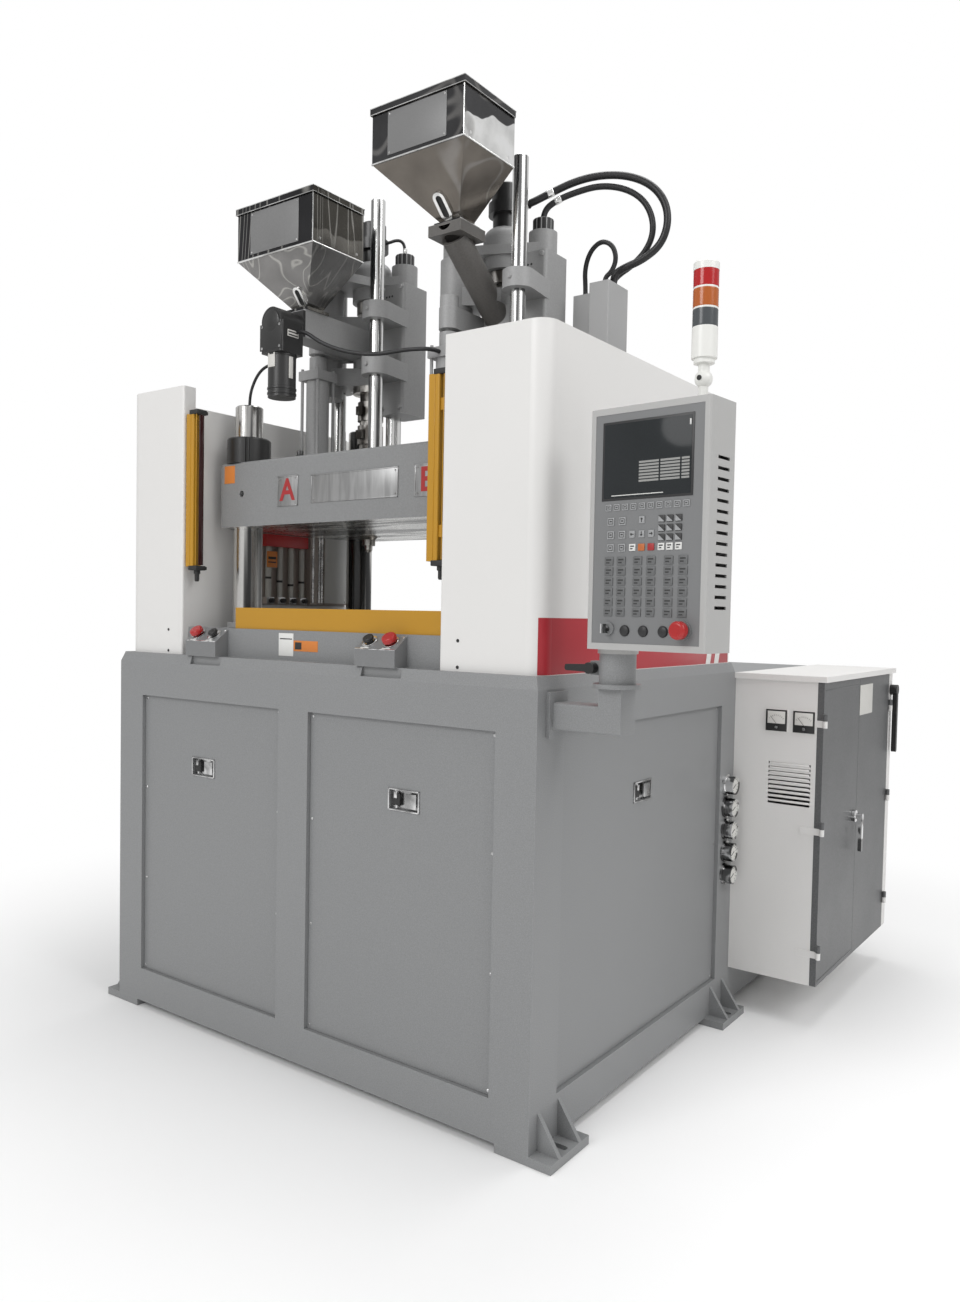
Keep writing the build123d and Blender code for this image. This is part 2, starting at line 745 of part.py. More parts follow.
def make_screw(x, label):
    """Plasticising screw: check ring and point, flighted length, shank and coupling."""
    root = barrel_bore - 13
    tip = barrel_bottom + 72
    flight_end = carriage_bottom - 40
    with BuildPart() as screw:
        with BuildSketch(Plane.XZ.offset(0)):
            with BuildLine():
                Polyline((x, tip), (x + 12, tip + 24), (x + 12, tip + 34),
                         (x + barrel_bore / 2 - running_fit, tip + 34),
                         (x + barrel_bore / 2 - running_fit, tip + 56), (x + root / 2, tip + 60),
                         (x + root / 2, flight_end), (x + barrel_bore / 2 - running_fit, flight_end + 8),
                         (x + barrel_bore / 2 - running_fit, coupling_bottom),
                         (x + coupling_diameter / 2, coupling_bottom),
                         (x + coupling_diameter / 2, head_bottom - seat_gap),
                         (x, head_bottom - seat_gap), close=True)
            make_face()
        revolve(axis=Axis((x, 0, 0), (0, 0, 1)))
        chamfer(screw.edges().filter_by(GeomType.CIRCLE).filter_by(
            lambda edge: abs(edge.radius - coupling_diameter / 2) < 0.01), 3)
    save(screw, label)


def make_ram_head(x, label, with_drum):
    """Ram head: plate on two pulled rods, bearing hub and domed bearing cap."""
    with BuildPart() as head:
        drum(x, 0, head_bottom, head_plate_top, hub_diameter)
        with BuildSketch(Plane.XY.offset(head_plate_bottom)):
            with BuildLine():
                Polyline((x + ram_left[0], ram_left[1]), (x, -30), (x + ram_right[0], ram_right[1]),
                         (x, 20), close=True)
            make_face()
            offset(amount=ram_boss_diameter / 2)
        extrude(amount=head_plate_top - head_plate_bottom)
        with BuildSketch(Plane.XZ.offset(0)):
            with BuildLine():
                Line((x, head_plate_top), (x + dome_diameter / 2, head_plate_top))
                Line((x + dome_diameter / 2, head_plate_top), (x + dome_diameter / 2, dome_top - 34))
                RadiusArc((x + dome_diameter / 2, dome_top - 34), (x + neck_diameter / 2, dome_top), -38)
                Polyline((x + neck_diameter / 2, dome_top), (x, dome_top), (x, head_plate_top))
            make_face()
        revolve(axis=Axis((x, 0, 0), (0, 0, 1)))
        for dx, dy in (ram_left, ram_right):
            drum(x + dx, dy, head_plate_top, ram_boss_top, ram_boss_diameter)
            drum(x + dx, dy, ram_rod_bottom, ram_boss_top, ram_rod_diameter)
            drum(x + dx, dy, ram_boss_top, ram_boss_top + ram_nut_height, ram_nut_diameter)
        if with_drum:
            with BuildSketch(Plane.XY.offset(head_plate_bottom)):
                with BuildLine():
                    Polyline((x + drum_dx, drum_dy), (x, 0), (x + 10, 0), close=True)
                make_face()
                offset(amount=drum_diameter / 2 + 4)
            extrude(amount=head_plate_top - head_plate_bottom)
    save(head, label)


def make_screw_motor(x, label, with_drum):
    """Screw drive: neck, flanged ring and motor; the left unit also has a drum motor."""
    with BuildPart() as motor:
        drum(x, 0, dome_top, neck_top, neck_diameter)
        drum(x, 0, neck_top, ring_top, ring_diameter)
        drum(x, 0, ring_top, screw_motor_top, screw_motor_diameter)
        chamfer(motor.faces().sort_by(Axis.Z)[-1].edges(), 5)
        if with_drum:
            drum(x + drum_dx, drum_dy, head_plate_top, drum_top, drum_diameter)
            chamfer(motor.faces().filter_by(Plane.XY).filter_by(
                lambda face: abs(face.center().Z - drum_top) < 0.01).edges(), 4)
    save(motor, label)


def make_hopper(x, y, top, width, depth, straight, outlet_y, outlet_z, label):
    """Hopper: folded sheet box running down into a slanted pyramid and a flanged outlet."""
    wall = hopper_wall
    with BuildPart() as hopper:
        for inset, mode in ((0, Mode.ADD), (wall, Mode.SUBTRACT)):
            with BuildSketch(Plane.XY.offset(top - straight)):
                with Locations((x, y)):
                    Rectangle(width - 2 * inset, depth - 2 * inset)
            extrude(amount=straight, mode=mode)
            with BuildSketch(Plane.XY.offset(top - straight)):
                with Locations((x, y)):
                    Rectangle(width - 2 * inset, depth - 2 * inset)
            with BuildSketch(Plane.XY.offset(outlet_z)):
                with Locations((x, outlet_y)):
                    Rectangle(outlet_bore + 2 * wall - 2 * inset, outlet_bore + 2 * wall - 2 * inset)
            loft(mode=mode)
        # bolting flange under the outlet
        with BuildSketch(Plane.XY.offset(outlet_z - outlet_flange_thickness)):
            with Locations((x, outlet_y)):
                Rectangle(outlet_flange, outlet_flange)
                Rectangle(outlet_bore, outlet_bore, mode=Mode.SUBTRACT)
        extrude(amount=outlet_flange_thickness)
        # lid hinge: two outer knuckles on tabs behind the rim, with the pin
        hinge_y = y + depth / 2 + lid_hinge_diameter / 2
        for side in (-1, 1):
            inner = x + side * (width / 6 + seat_gap)
            outer = x + side * (width / 6 + seat_gap + 40)
            shaft_x(hinge_y, top + lid_hinge_rise, min(inner, outer), max(inner, outer),
                    lid_hinge_diameter)
            block(min(inner, outer), max(inner, outer), y + depth / 2 - wall, hinge_y,
                  top - 14, top)
        shaft_x(hinge_y, top + lid_hinge_rise, x - width / 6 - 10, x + width / 6 + 10, lid_pin_diameter)
    save(hopper, label)


def make_lid(x, y, top, width, depth, label):
    """Hopper lid: sheet with three skirts and the middle knuckle of its hinge behind."""
    half_w = width / 2 + lid_overhang
    lid_front = y - depth / 2 - lid_overhang
    lid_back = y + depth / 2 - body_gap
    hinge_y = y + depth / 2 + lid_hinge_diameter / 2
    sheet_bottom = top + seat_gap
    with BuildPart() as lid:
        block(x - half_w, x + half_w, lid_front, lid_back, sheet_bottom, sheet_bottom + lid_thickness)
        block(x - half_w, x + half_w, lid_front, lid_front + lid_thickness,
              sheet_bottom - lid_skirt, sheet_bottom)
        for side in (-1, 1):
            edge = x + side * (half_w - lid_thickness / 2)
            block(edge - lid_thickness / 2, edge + lid_thickness / 2, lid_front, lid_back - 2,
                  sheet_bottom - lid_skirt, sheet_bottom)
        block(x - width / 6, x + width / 6, lid_back, hinge_y, sheet_bottom, sheet_bottom + lid_thickness)
        shaft_x(hinge_y, top + lid_hinge_rise, x - width / 6, x + width / 6, lid_hinge_diameter)
        shaft_x(hinge_y, top + lid_hinge_rise, x - width / 6, x + width / 6,
                lid_pin_diameter + 2 * running_fit, mode=Mode.SUBTRACT)
    save(lid, label)


for unit, x in (("a", -unit_x), ("b", unit_x)):
    make_carriage(x, f"carriage_{unit}")
    make_barrel(x, f"barrel_{unit}")
    make_screw(x, f"screw_{unit}")
    make_ram_head(x, f"ram_head_{unit}", unit == "a")
    make_screw_motor(x, f"screw_motor_{unit}", unit == "a")

make_hopper(-unit_x, hopper_a_y, hopper_a_top, hopper_a_width, hopper_a_depth, hopper_straight,
            outlet_a_y, outlet_a_z, "hopper_a")
make_lid(-unit_x, hopper_a_y, hopper_a_top, hopper_a_width, hopper_a_depth, "hopper_lid_a")
make_hopper(unit_x, hopper_b_y, hopper_b_top, hopper_b_width, hopper_b_depth, hopper_b_straight,
            outlet_b_y, outlet_b_z, "hopper_b")
make_lid(unit_x, hopper_b_y, hopper_b_top, hopper_b_width, hopper_b_depth, "hopper_lid_b")

# auger housing of the left unit
with BuildPart() as feeder_a:
    block(-unit_x - feeder_width / 2, -unit_x + feeder_width / 2, feeder_front,
          -math.sqrt((throat_diameter / 2) ** 2 - (feeder_width / 2) ** 2) - 6, feeder_bottom, feeder_top)
    shaft_y(-unit_x, feed_z, feeder_front, 0, feeder_bore, mode=Mode.SUBTRACT)
    drum(-unit_x, 0, feeder_bottom, feeder_top, throat_diameter + 2 * running_fit, mode=Mode.SUBTRACT)
    with Locations((-unit_x, outlet_a_y, feeder_top)):
        Box(outlet_bore - 10, outlet_bore, feeder_top - feed_z,
            align=(Align.CENTER, Align.CENTER, Align.MAX), mode=Mode.SUBTRACT)
save(feeder_a, "feeder_a")

# feed auger, driven by the geared motor
with BuildPart() as feed_auger_a:
    shaft_y(-unit_x, feed_z, motor_y_back + seat_gap, -70, feeder_bore * 0.4)
    for turn in range(9):
        y0 = feeder_front + 12 + turn * 28
        shaft_y(-unit_x, feed_z, y0, y0 + 5, feeder_bore - 2 * running_fit)
save(feed_auger_a, "feed_auger_a")

# geared motor on the front of the auger housing
with BuildPart() as gear_motor_a:
    with BuildSketch(Plane.XY.offset(gearbox_bottom)):
        with Locations((-unit_x, (motor_y_front + motor_y_back) / 2)):
            RectangleRounded(motor_width, motor_y_back - motor_y_front, 10)
    extrude(amount=motor_top - 44 - gearbox_bottom)
    shaft_y(-unit_x, motor_top - 44, motor_y_front + 2, motor_y_back, motor_width - 6)
    drum(-unit_x, (motor_y_front + motor_y_back) / 2, motor_bottom, gearbox_bottom, motor_width - 8)
    block(-unit_x - feeder_width / 2, -unit_x + feeder_width / 2, motor_y_back, feeder_front,
          feeder_bottom, feeder_top - 6)
    shaft_y(-unit_x, feed_z, motor_y_back, feeder_front, feeder_bore, mode=Mode.SUBTRACT)
save(gear_motor_a, "gear_motor_a")

# slanted feed tube of the right unit
with BuildPart() as chute_b:
    start = Vector(unit_x, outlet_b_y, outlet_b_z - outlet_flange_thickness - chute_flange_thickness)
    end = Vector(unit_x, 0, chute_end_z)
    slope = (end - start).normalized()
    with BuildSketch(Plane(origin=start - slope * 12, z_dir=slope, x_dir=(1, 0, 0))):
        Circle(chute_diameter / 2)
    extrude(amount=(end - start).length + 12)
    block(unit_x - chute_flange / 2, unit_x + chute_flange / 2, outlet_b_y - chute_flange / 2,
          outlet_b_y + chute_flange / 2, start.Z, start.Z + chute_flange_thickness)
    block(unit_x - chute_flange, unit_x + chute_flange, outlet_b_y - chute_flange,
          outlet_b_y + chute_flange, start.Z + chute_flange_thickness,
          start.Z + chute_flange_thickness + 60, mode=Mode.SUBTRACT)
    with BuildSketch(Plane(origin=start - slope * 60, z_dir=slope, x_dir=(1, 0, 0))):
        Circle(chute_bore / 2)
    extrude(amount=(end - start).length + 80, mode=Mode.SUBTRACT)
    drum(unit_x, 0, carriage_bottom, upper_plate_top, throat_diameter + 2 * running_fit,
         mode=Mode.SUBTRACT)
    block(unit_x - chute_flange, unit_x + chute_flange, -lug_diameter, lug_diameter,
          upper_plate_bottom - 1, upper_plate_top + 60, mode=Mode.SUBTRACT)
save(chute_b, "chute_b")

# upright covers: sheet bent round three sides, with a large outer front corner
with BuildPart() as side_covers:
    for side, inner, panel_back in ((-1, left_cover_inner, left_panel_back),
                                    (1, right_cover_inner, right_panel_back)):
        with BuildSketch(Plane.XY.offset(base_top)):
            with BuildLine():
                FilletPolyline((side * inner, cover_front + cover_corner), (side * inner, cover_front),
                               (side * cover_outer, cover_front), (side * cover_outer, cover_back),
                               radius=(cover_sheet, cover_corner))
                offset(amount=cover_sheet, side=Side.LEFT if side > 0 else Side.RIGHT)
            make_face()
        extrude(amount=cover_top - base_top)
        block(side * inner, side * (inner + cover_sheet), cover_front + cover_corner, panel_back,
              base_top, inner_panel_top)
save(side_covers, "side_covers")

# light curtains on brackets at the inner edges of the covers
with BuildPart() as light_curtains:
    for curtain_x, inner in ((left_curtain_x, -left_cover_inner), (right_curtain_x, right_cover_inner)):
        block(curtain_x - curtain_width / 2, curtain_x + curtain_width / 2, curtain_front,
              curtain_front + curtain_depth, curtain_bottom, curtain_top)
        near = curtain_x + math.copysign(curtain_width / 2, inner)
        for z in (curtain_bottom + 60, curtain_top - 90):
            block(near, inner, cover_front + cover_sheet + 8, cover_front + cover_sheet + 11, z, z + 30)
    fillet(light_curtains.edges().filter_by(Axis.Z).filter_by(
        lambda edge: edge.length > 300), 4)
save(light_curtains, "light_curtains")

# yellow guard bar standing on the apron
with BuildPart() as guard_bar:
    with BuildSketch(Plane.XY.offset(apron_top)):
        with Locations(((bar_left + bar_right) / 2, apron_front + bar_thickness / 2 + 6)):
            RectangleRounded(bar_right - bar_left, bar_thickness, 4)
    extrude(amount=bar_height)
save(guard_bar, "guard_bar")

# button boxes: sloped top, hollow inside, two collared holes each
slope_run = apron_front - front
slope_rise = button_box_back_height - button_box_front_height
slope_angle = math.degrees(math.atan2(slope_rise, slope_run))
slope_mid = Vector(0, front + slope_run / 2, base_top + button_box_front_height + slope_rise / 2)
slope_normal = Vector(0, -math.sin(math.radians(slope_angle)), math.cos(math.radians(slope_angle)))
with BuildPart() as button_boxes:
    for box_x in (left_box_x, right_box_x):
        for inset, mode in ((0, Mode.ADD), (button_wall, Mode.SUBTRACT)):
            with BuildSketch(Plane.YZ.offset(box_x - button_box_width / 2 + inset)):
                with BuildLine():
                    Polyline((front + inset, base_top), (apron_front - inset, base_top),
                             (apron_front - inset, base_top + button_box_back_height - 1.3 * inset),
                             (front + inset, base_top + button_box_front_height - inset), close=True)
                make_face()
            extrude(amount=button_box_width - 2 * inset, mode=mode)
        for step in (-button_spacing, button_spacing):
            collar_plane = Plane(origin=slope_mid + Vector(box_x + step, 0, 0), z_dir=slope_normal,
                                 x_dir=(1, 0, 0))
            with BuildSketch(collar_plane):
                Circle(collar_diameter / 2)
            extrude(amount=4)
            with BuildSketch(collar_plane.offset(-12)):
                Circle(mushroom_neck / 2 + running_fit)
            extrude(amount=24, mode=Mode.SUBTRACT)
save(button_boxes, "button_boxes")


def make_button(x, diameter, height, label):
    """Push button: domed cap on a stem through its collar."""
    face = Plane(origin=slope_mid + Vector(x, 0, 0), z_dir=slope_normal, x_dir=(1, 0, 0))
    with BuildPart() as button:
        with BuildSketch(face.offset(-8)):
            Circle(mushroom_neck / 2)
        extrude(amount=8 + 4 + button_travel + 1)
        with BuildSketch(face.offset(4 + button_travel + 1)):
            Circle(diameter / 2)
        extrude(amount=height)
        fillet(button.edges().filter_by(GeomType.CIRCLE).sort_by(Axis.Z)[-1], height * 0.45)
    save(button, label)


make_button(left_box_x - button_spacing, mushroom_diameter, 14, "stop_button_left")
make_button(left_box_x + button_spacing, start_diameter, 8, "start_button_left")
make_button(right_box_x - button_spacing, start_diameter, 8, "start_button_right")
make_button(right_box_x + button_spacing, mushroom_diameter, 14, "stop_button_right")

# rear housing over the hydraulic unit: sheet hood on four pads
with BuildPart() as rear_housing:
    block(-half_width, half_width, housing_front, housing_back, foot_thickness, housing_top)
    block(-half_width + housing_sheet, half_width - housing_sheet, housing_front + housing_sheet,
          housing_back - housing_sheet, foot_thickness, housing_top - housing_sheet, mode=Mode.SUBTRACT)
    for side in (-1, 1):
        for y in (housing_front + 100, housing_back - 100):
            drum(side * (half_width - 60), y, 0, foot_thickness, 80)
            block(side * (half_width - 110), side * half_width, y - 50, y + 50, foot_thickness,
                  foot_thickness + 10)
save(rear_housing, "rear_housing")

# control cabinet on the side of the rear housing
cabinet_right = half_width + cabinet_depth
door_inside = cabinet_right - door_thickness
hinge_x = cabinet_right + hinge_diameter / 2
hinge_front_y = cabinet_front - hinge_diameter / 2
hinge_rear_y = door_rear_end + 1
hinge_levels = (cabinet_bottom + 90, (cabinet_bottom + cabinet_top) / 2, cabinet_top - 140)
with BuildPart() as cabinet_body:
    block(half_width, door_inside - seat_gap, cabinet_front, cabinet_back, cabinet_bottom, cabinet_top)
    block(half_width + cabinet_sheet, door_inside - seat_gap, cabinet_front + cabinet_sheet,
          door_rear_end - cabinet_sheet, cabinet_bottom + cabinet_sheet, cabinet_top - cabinet_sheet,
          mode=Mode.SUBTRACT)
    block(half_width, cabinet_right, door_rear_end + 2, cabinet_back, cabinet_bottom, cabinet_top)
    block(half_width, cabinet_right + cabinet_lid_overhang, cabinet_front - cabinet_lid_overhang,
          cabinet_back + cabinet_lid_overhang, cabinet_top, cabinet_top + cabinet_lid)
    # louvre in the front wall
    for slat in range(10):
        z0 = louvre_bottom + slat * 2 * louvre_slot
        block(louvre_left, louvre_left + louvre_width, cabinet_front, cabinet_front + cabinet_sheet,
              z0, z0 + louvre_slot, mode=Mode.SUBTRACT)
    # meter holes and cases
    for meter_x in (dial_left, dial_left + dial_pitch):
        block(meter_x - dial_size / 2, meter_x + dial_size / 2, cabinet_front - 6, cabinet_front,
              dial_bottom, dial_bottom + dial_size)
    # lower hinge knuckles with their pins and straps, on both door edges
    for z in hinge_levels:
        for hinge_y in (hinge_front_y, hinge_rear_y):
            with Locations((hinge_x, hinge_y, z)):
                Cylinder(hinge_diameter / 2, hinge_length / 2, align=upright)
                Cylinder(hinge_pin_diameter / 2, hinge_length - 2, align=upright)
        block(door_inside - hinge_length, hinge_x, cabinet_front - cabinet_sheet, cabinet_front, z,
              z + hinge_length / 2)
        block(cabinet_right, cabinet_right + cabinet_sheet, hinge_rear_y,
              hinge_rear_y + hinge_length / 2, z, z + hinge_length / 2)
save(cabinet_body, "cabinet_body")


def make_door(y0, y1, hinge_y, label):
    """Cabinet door leaf: shallow tray with the upper knuckles of its hinges."""
    z0 = cabinet_bottom + body_gap
    z1 = cabinet_top - body_gap
    with BuildPart() as door:
        block(door_inside, cabinet_right, y0, y1, z0, z1)
        block(door_inside, cabinet_right - cabinet_sheet, y0 + cabinet_sheet, y1 - cabinet_sheet,
              z0 + cabinet_sheet, z1 - cabinet_sheet, mode=Mode.SUBTRACT)
        edge_y = y0 if hinge_y < (y0 + y1) / 2 else y1
        for z in hinge_levels:
            z2 = z + hinge_length / 2 + seat_gap
            drum(hinge_x, hinge_y, z2, z + hinge_length, hinge_diameter)
            block(cabinet_right - cabinet_sheet, hinge_x, min(edge_y - 3, hinge_y),
                  max(edge_y + 1, hinge_y) if hinge_y < edge_y else hinge_y, z2, z + hinge_length)
            drum(hinge_x, hinge_y, z2, z + hinge_length, hinge_pin_diameter + 2 * running_fit,
                 mode=Mode.SUBTRACT)
        if label == "cabinet_door_front":
            shaft_x(handle_y, handle_z, cabinet_right - cabinet_sheet, cabinet_right,
                    handle_stem_diameter + 2 * running_fit, mode=Mode.SUBTRACT)
    save(door, label)


handle_y = door_split - 42
handle_z = 620
handle_stem_diameter = 14
make_door(cabinet_front + body_gap, door_split - 1, hinge_front_y, "cabinet_door_front")
make_door(door_split + 1, door_rear_end, hinge_rear_y, "cabinet_door_rear")

# door handle: rose, stem through the door and a bent lever
with BuildPart() as door_handle:
    shaft_x(handle_y, handle_z, cabinet_right - 12, cabinet_right + 8, handle_stem_diameter)
    shaft_x(handle_y, handle_z, cabinet_right + seat_gap, cabinet_right + 12, 40)
    shaft_x(handle_y, handle_z, cabinet_right + 12, cabinet_right + 34, 22)
    block(cabinet_right + 22, cabinet_right + 34, handle_y - 9, handle_y + 9, handle_z - 118, handle_z)
    fillet(door_handle.edges().filter_by(Axis.X).sort_by(Axis.Z)[:2], 8)
save(door_handle, "door_handle")

# main switch: round boss and a long lever that hangs when off
switch_y = (door_rear_end + 2 + cabinet_back) / 2
switch_z = cabinet_top - 62
with BuildPart() as main_switch:
    shaft_x(switch_y, switch_z, cabinet_right + seat_gap, cabinet_right + 26, 38)
    block(cabinet_right + 10, cabinet_right + 26, switch_y - 10, switch_y + 10, switch_z - 232, switch_z)
    fillet(main_switch.edges().filter_by(Axis.X).sort_by(Axis.Z)[:2], 9)
save(main_switch, "main_switch")

# pressure gauges in a column on the right rear post
gauge_top = 746
gauge_pitch = 72
gauge_diameter = 60
gauge_y = rear - 50
with BuildPart() as gauges:
    for number in range(5):
        z = gauge_top - number * gauge_pitch
        shaft_x(gauge_y, z, half_width, half_width + 8, gauge_diameter + 8)
        shaft_x(gauge_y, z, half_width + 8, half_width + 34, gauge_diameter)
        shaft_x(gauge_y, z, half_width + 30, half_width + 34, gauge_diameter - 8, mode=Mode.SUBTRACT)
save(gauges, "gauges")

# panel arm: bracket, level arm, upright and round post with a lug for the clamp lever
lever_z = (post_bottom + post_top) / 2
lever_x = post_x - post_diameter / 2 - 14
lever_front = post_y - 36
lever_length = 62
lever_hub_diameter = 26
lever_stud_diameter = 12
with BuildPart() as hmi_arm:
    block(half_width, half_width + 10, post_y - 48, post_y + 34, arm_bracket_bottom, arm_bracket_top)
    block(half_width, post_x + upright_width / 2, post_y - arm_depth / 2, post_y + arm_depth / 2,
          arm_bottom, arm_top)
    block(post_x - upright_width / 2, post_x + upright_width / 2, post_y - arm_depth / 2,
          post_y + arm_depth / 2, arm_bottom, upright_top)
    fillet(hmi_arm.edges().filter_by(Axis.X).filter_by(lambda edge: edge.length > 60), 6)
    drum(post_x, post_y, upright_top, post_bottom, post_diameter + 26)
    drum(post_x, post_y, post_bottom, post_top, post_diameter)
    block(post_x - post_diameter / 2 - 22, post_x, post_y - 12, post_y + 12,
          lever_z - 16, lever_z + 16)
    shaft_y(lever_x, lever_z, post_y - 20, post_y + 12, lever_stud_diameter)
save(hmi_arm, "hmi_arm")

# clamp lever that locks the swivel: hub on the lug's stud and a flat arm
with BuildPart() as clamp_lever:
    shaft_y(lever_x, lever_z, lever_front, post_y - 12 - seat_gap, lever_hub_diameter)
    with BuildSketch(Plane.XZ.offset(-lever_front)):
        with BuildLine():
            Polyline((lever_x, lever_z - 9), (lever_x, lever_z + 9), (lever_x - lever_length, lever_z + 7),
                     (lever_x - lever_length, lever_z - 7), close=True)
        make_face()
    extrude(amount=-10)
    shaft_y(lever_x, lever_z, post_y - 20 - seat_gap, post_y - 12 - seat_gap,
            lever_stud_diameter + 2 * running_fit, mode=Mode.SUBTRACT)
    fillet(clamp_lever.edges().filter_by(Axis.Y).sort_by(Axis.X)[:2], 5)
save(clamp_lever, "clamp_lever")

# everything on the swivelling panel is drawn from the post's axis, turned with the box
hmi_frame = Plane(origin=(post_x, post_y, 0),
                  x_dir=(math.cos(math.radians(hmi_turn)), math.sin(math.radians(hmi_turn)), 0))
plate_margin = 14
plate_recess = 4
estop_x = hmi_right - 52
estop_z = 1252
key_x = hmi_left + 58
key_z = estop_z
with BuildPart(hmi_frame) as hmi_box:
    block(hmi_left, hmi_right, hmi_front, hmi_back, hmi_bottom, hmi_top)
    fillet(hmi_box.edges().filter_by(Axis.Z), 6)
    block(hmi_left + hmi_sheet, hmi_right - hmi_sheet, hmi_front + plate_recess + hmi_sheet,
          hmi_back - hmi_sheet, hmi_bottom + hmi_sheet, hmi_top - hmi_sheet, mode=Mode.SUBTRACT)
    block(hmi_left + plate_margin, hmi_right - plate_margin, hmi_front, hmi_front + plate_recess + hmi_sheet,
          hmi_bottom + plate_margin, hmi_top - plate_margin, mode=Mode.SUBTRACT)
    # swivel collar
    drum(0, 0, post_top + seat_gap, hmi_bottom, post_diameter + 8)
    # louvre slots in the right side
    for slot in range(15):
        z = hmi_bottom + 90 + slot * 22
        block(hmi_right - hmi_sheet, hmi_right, hmi_front + 34, hmi_back - 26, z, z + 7,
              mode=Mode.SUBTRACT)
save(hmi_box, "hmi_box")

with BuildPart(hmi_frame) as hmi_panel:
    block(hmi_left + plate_margin, hmi_right - plate_margin, hmi_front + 1, hmi_front + plate_recess + 1,
          hmi_bottom + plate_margin, hmi_top - plate_margin)
    shaft_y(estop_x, estop_z, hmi_front - 5, hmi_front + plate_recess, 40)
    shaft_y(estop_x, estop_z, hmi_front - 6, hmi_front + 8, 16 + 2 * running_fit, mode=Mode.SUBTRACT)
    shaft_y(key_x, key_z, hmi_front - 4, hmi_front + plate_recess, 29)
    shaft_y(key_x, key_z, hmi_front - 5, hmi_front + 8, 12 + 2 * running_fit, mode=Mode.SUBTRACT)
save(hmi_panel, "hmi_panel")

with BuildPart(hmi_frame) as hmi_estop:
    shaft_y(estop_x, estop_z, hmi_front - 14, hmi_front + 10, 16)
    shaft_y(estop_x, estop_z, hmi_front - 30, hmi_front - 12, 38)
    fillet(hmi_estop.edges().filter_by(GeomType.CIRCLE).sort_by(Axis.Y)[0], 7)
save(hmi_estop, "hmi_estop")

with BuildPart(hmi_frame) as hmi_key:
    shaft_y(key_x, key_z, hmi_front - 8, hmi_front + 6, 12)
    block(key_x - 1.5, key_x + 1.5, hmi_front - 30, hmi_front - 6, key_z - 10, key_z + 10)
save(hmi_key, "hmi_key")

# tower light: ball joint, white base, two lenses and caps
tower_x = 193
tower_y = 5
tower_diameter = 54
with BuildPart(hmi_frame) as tower_light:
    drum(tower_x, tower_y, hmi_top, hmi_top + 8, 46)
    drum(tower_x, tower_y, hmi_top + 8, hmi_top + 40, 20)
    with Locations((tower_x, tower_y, hmi_top + 52)):
        Sphere(19)
    drum(tower_x, tower_y, hmi_top + 62, hmi_top + 84, 24)
    drum(tower_x, tower_y, hmi_top + 84, hmi_top + 96, tower_diameter - 10)
    for z0, z1, shrink in ((96, 158, 0), (158, 196, 2), (198, 238, 2), (240, 278, 2), (278, 296, 0)):
        drum(tower_x, tower_y, hmi_top + z0 - 2, hmi_top + z1, tower_diameter - shrink)
    chamfer(tower_light.faces().sort_by(Axis.Z)[-1].edges(), 5)
save(tower_light, "tower_light")

# flow meters and their valve panels on the left inner cover
with BuildPart() as flow_meters:
    wall_x = -left_cover_inner
    seat_x = wall_x + meter_plate_thickness
    block(wall_x, seat_x, meter_plate_front, meter_plate_back, meter_plate_bottom, meter_plate_top)
    foot_z = meter_plate_bottom + meter_body_bottom
    head_z = meter_plate_top - meter_top_drop
    for number in range(meter_count):
        y = meter_plate_front + meter_inset + number * meter_pitch
        drum(wall_x + meter_tube_offset, y, foot_z + 18, head_z + 8, meter_tube_diameter)
        for z0, height in ((foot_z, meter_body_height), (head_z, meter_top_height)):
            block(seat_x, seat_x + meter_body_depth, y - meter_body_width / 2, y + meter_body_width / 2,
                  z0, z0 + height)
    block(seat_x, seat_x + valve_panel_depth, valve_panel_front, valve_panel_back, foot_z,
          meter_plate_top - valve_panel_top_drop)
    block(seat_x, seat_x + switch_panel_depth, switch_panel_front, switch_panel_back, foot_z + 2,
          meter_plate_top - switch_panel_top_drop)
save(flow_meters, "flow_meters")

# terminal box on a bracket at the moving platen's right end
with BuildPart() as terminal_box:
    block(terminal_left, terminal_right, terminal_front, terminal_back, terminal_bottom, terminal_top)
    block(terminal_side, terminal_left, terminal_front + 14, terminal_back, terminal_side_bottom,
          terminal_side_top)
    fillet(terminal_box.edges().filter_by(Axis.Z).filter_by(lambda edge: edge.length > 150), 3)
    shelf_z = moving_platen_bottom + terminal_shelf_rise
    block(terminal_left, terminal_left + terminal_bracket, terminal_front + 10, terminal_back - 10,
          shelf_z, terminal_bottom)
    block(platen_width / 2, terminal_left + terminal_bracket, terminal_front + 10, terminal_back - 10,
          shelf_z, shelf_z + terminal_shelf)
save(terminal_box, "terminal_box")


def make_cord(points, diameter, label):
    """Hose or cable: straight runs joined by tangent arcs."""
    corners = [Vector(*point) for point in points]
    runs = [end - start for start, end in zip(corners, corners[1:])]
    radii = []
    for before, after in zip(runs, runs[1:]):
        turn = math.radians(before.get_angle(after))
        radii.append(0.45 * min(before.length, after.length) / math.tan(turn / 2))
    with BuildPart() as cord:
        with BuildLine():
            route = FilletPolyline(*corners, radius=radii)
        with BuildSketch(Plane(origin=route @ 0, z_dir=route % 0)):
            Circle(diameter / 2)
        sweep(path=route)
    section = math.pi * diameter ** 2 / 4
    print(label, "length", round(route.length), "volume ratio",
          round(cord.part.volume / (section * route.length), 4),
          "radii in diameters", [round(radius / diameter, 1) for radius in radii])
    save(cord, label)


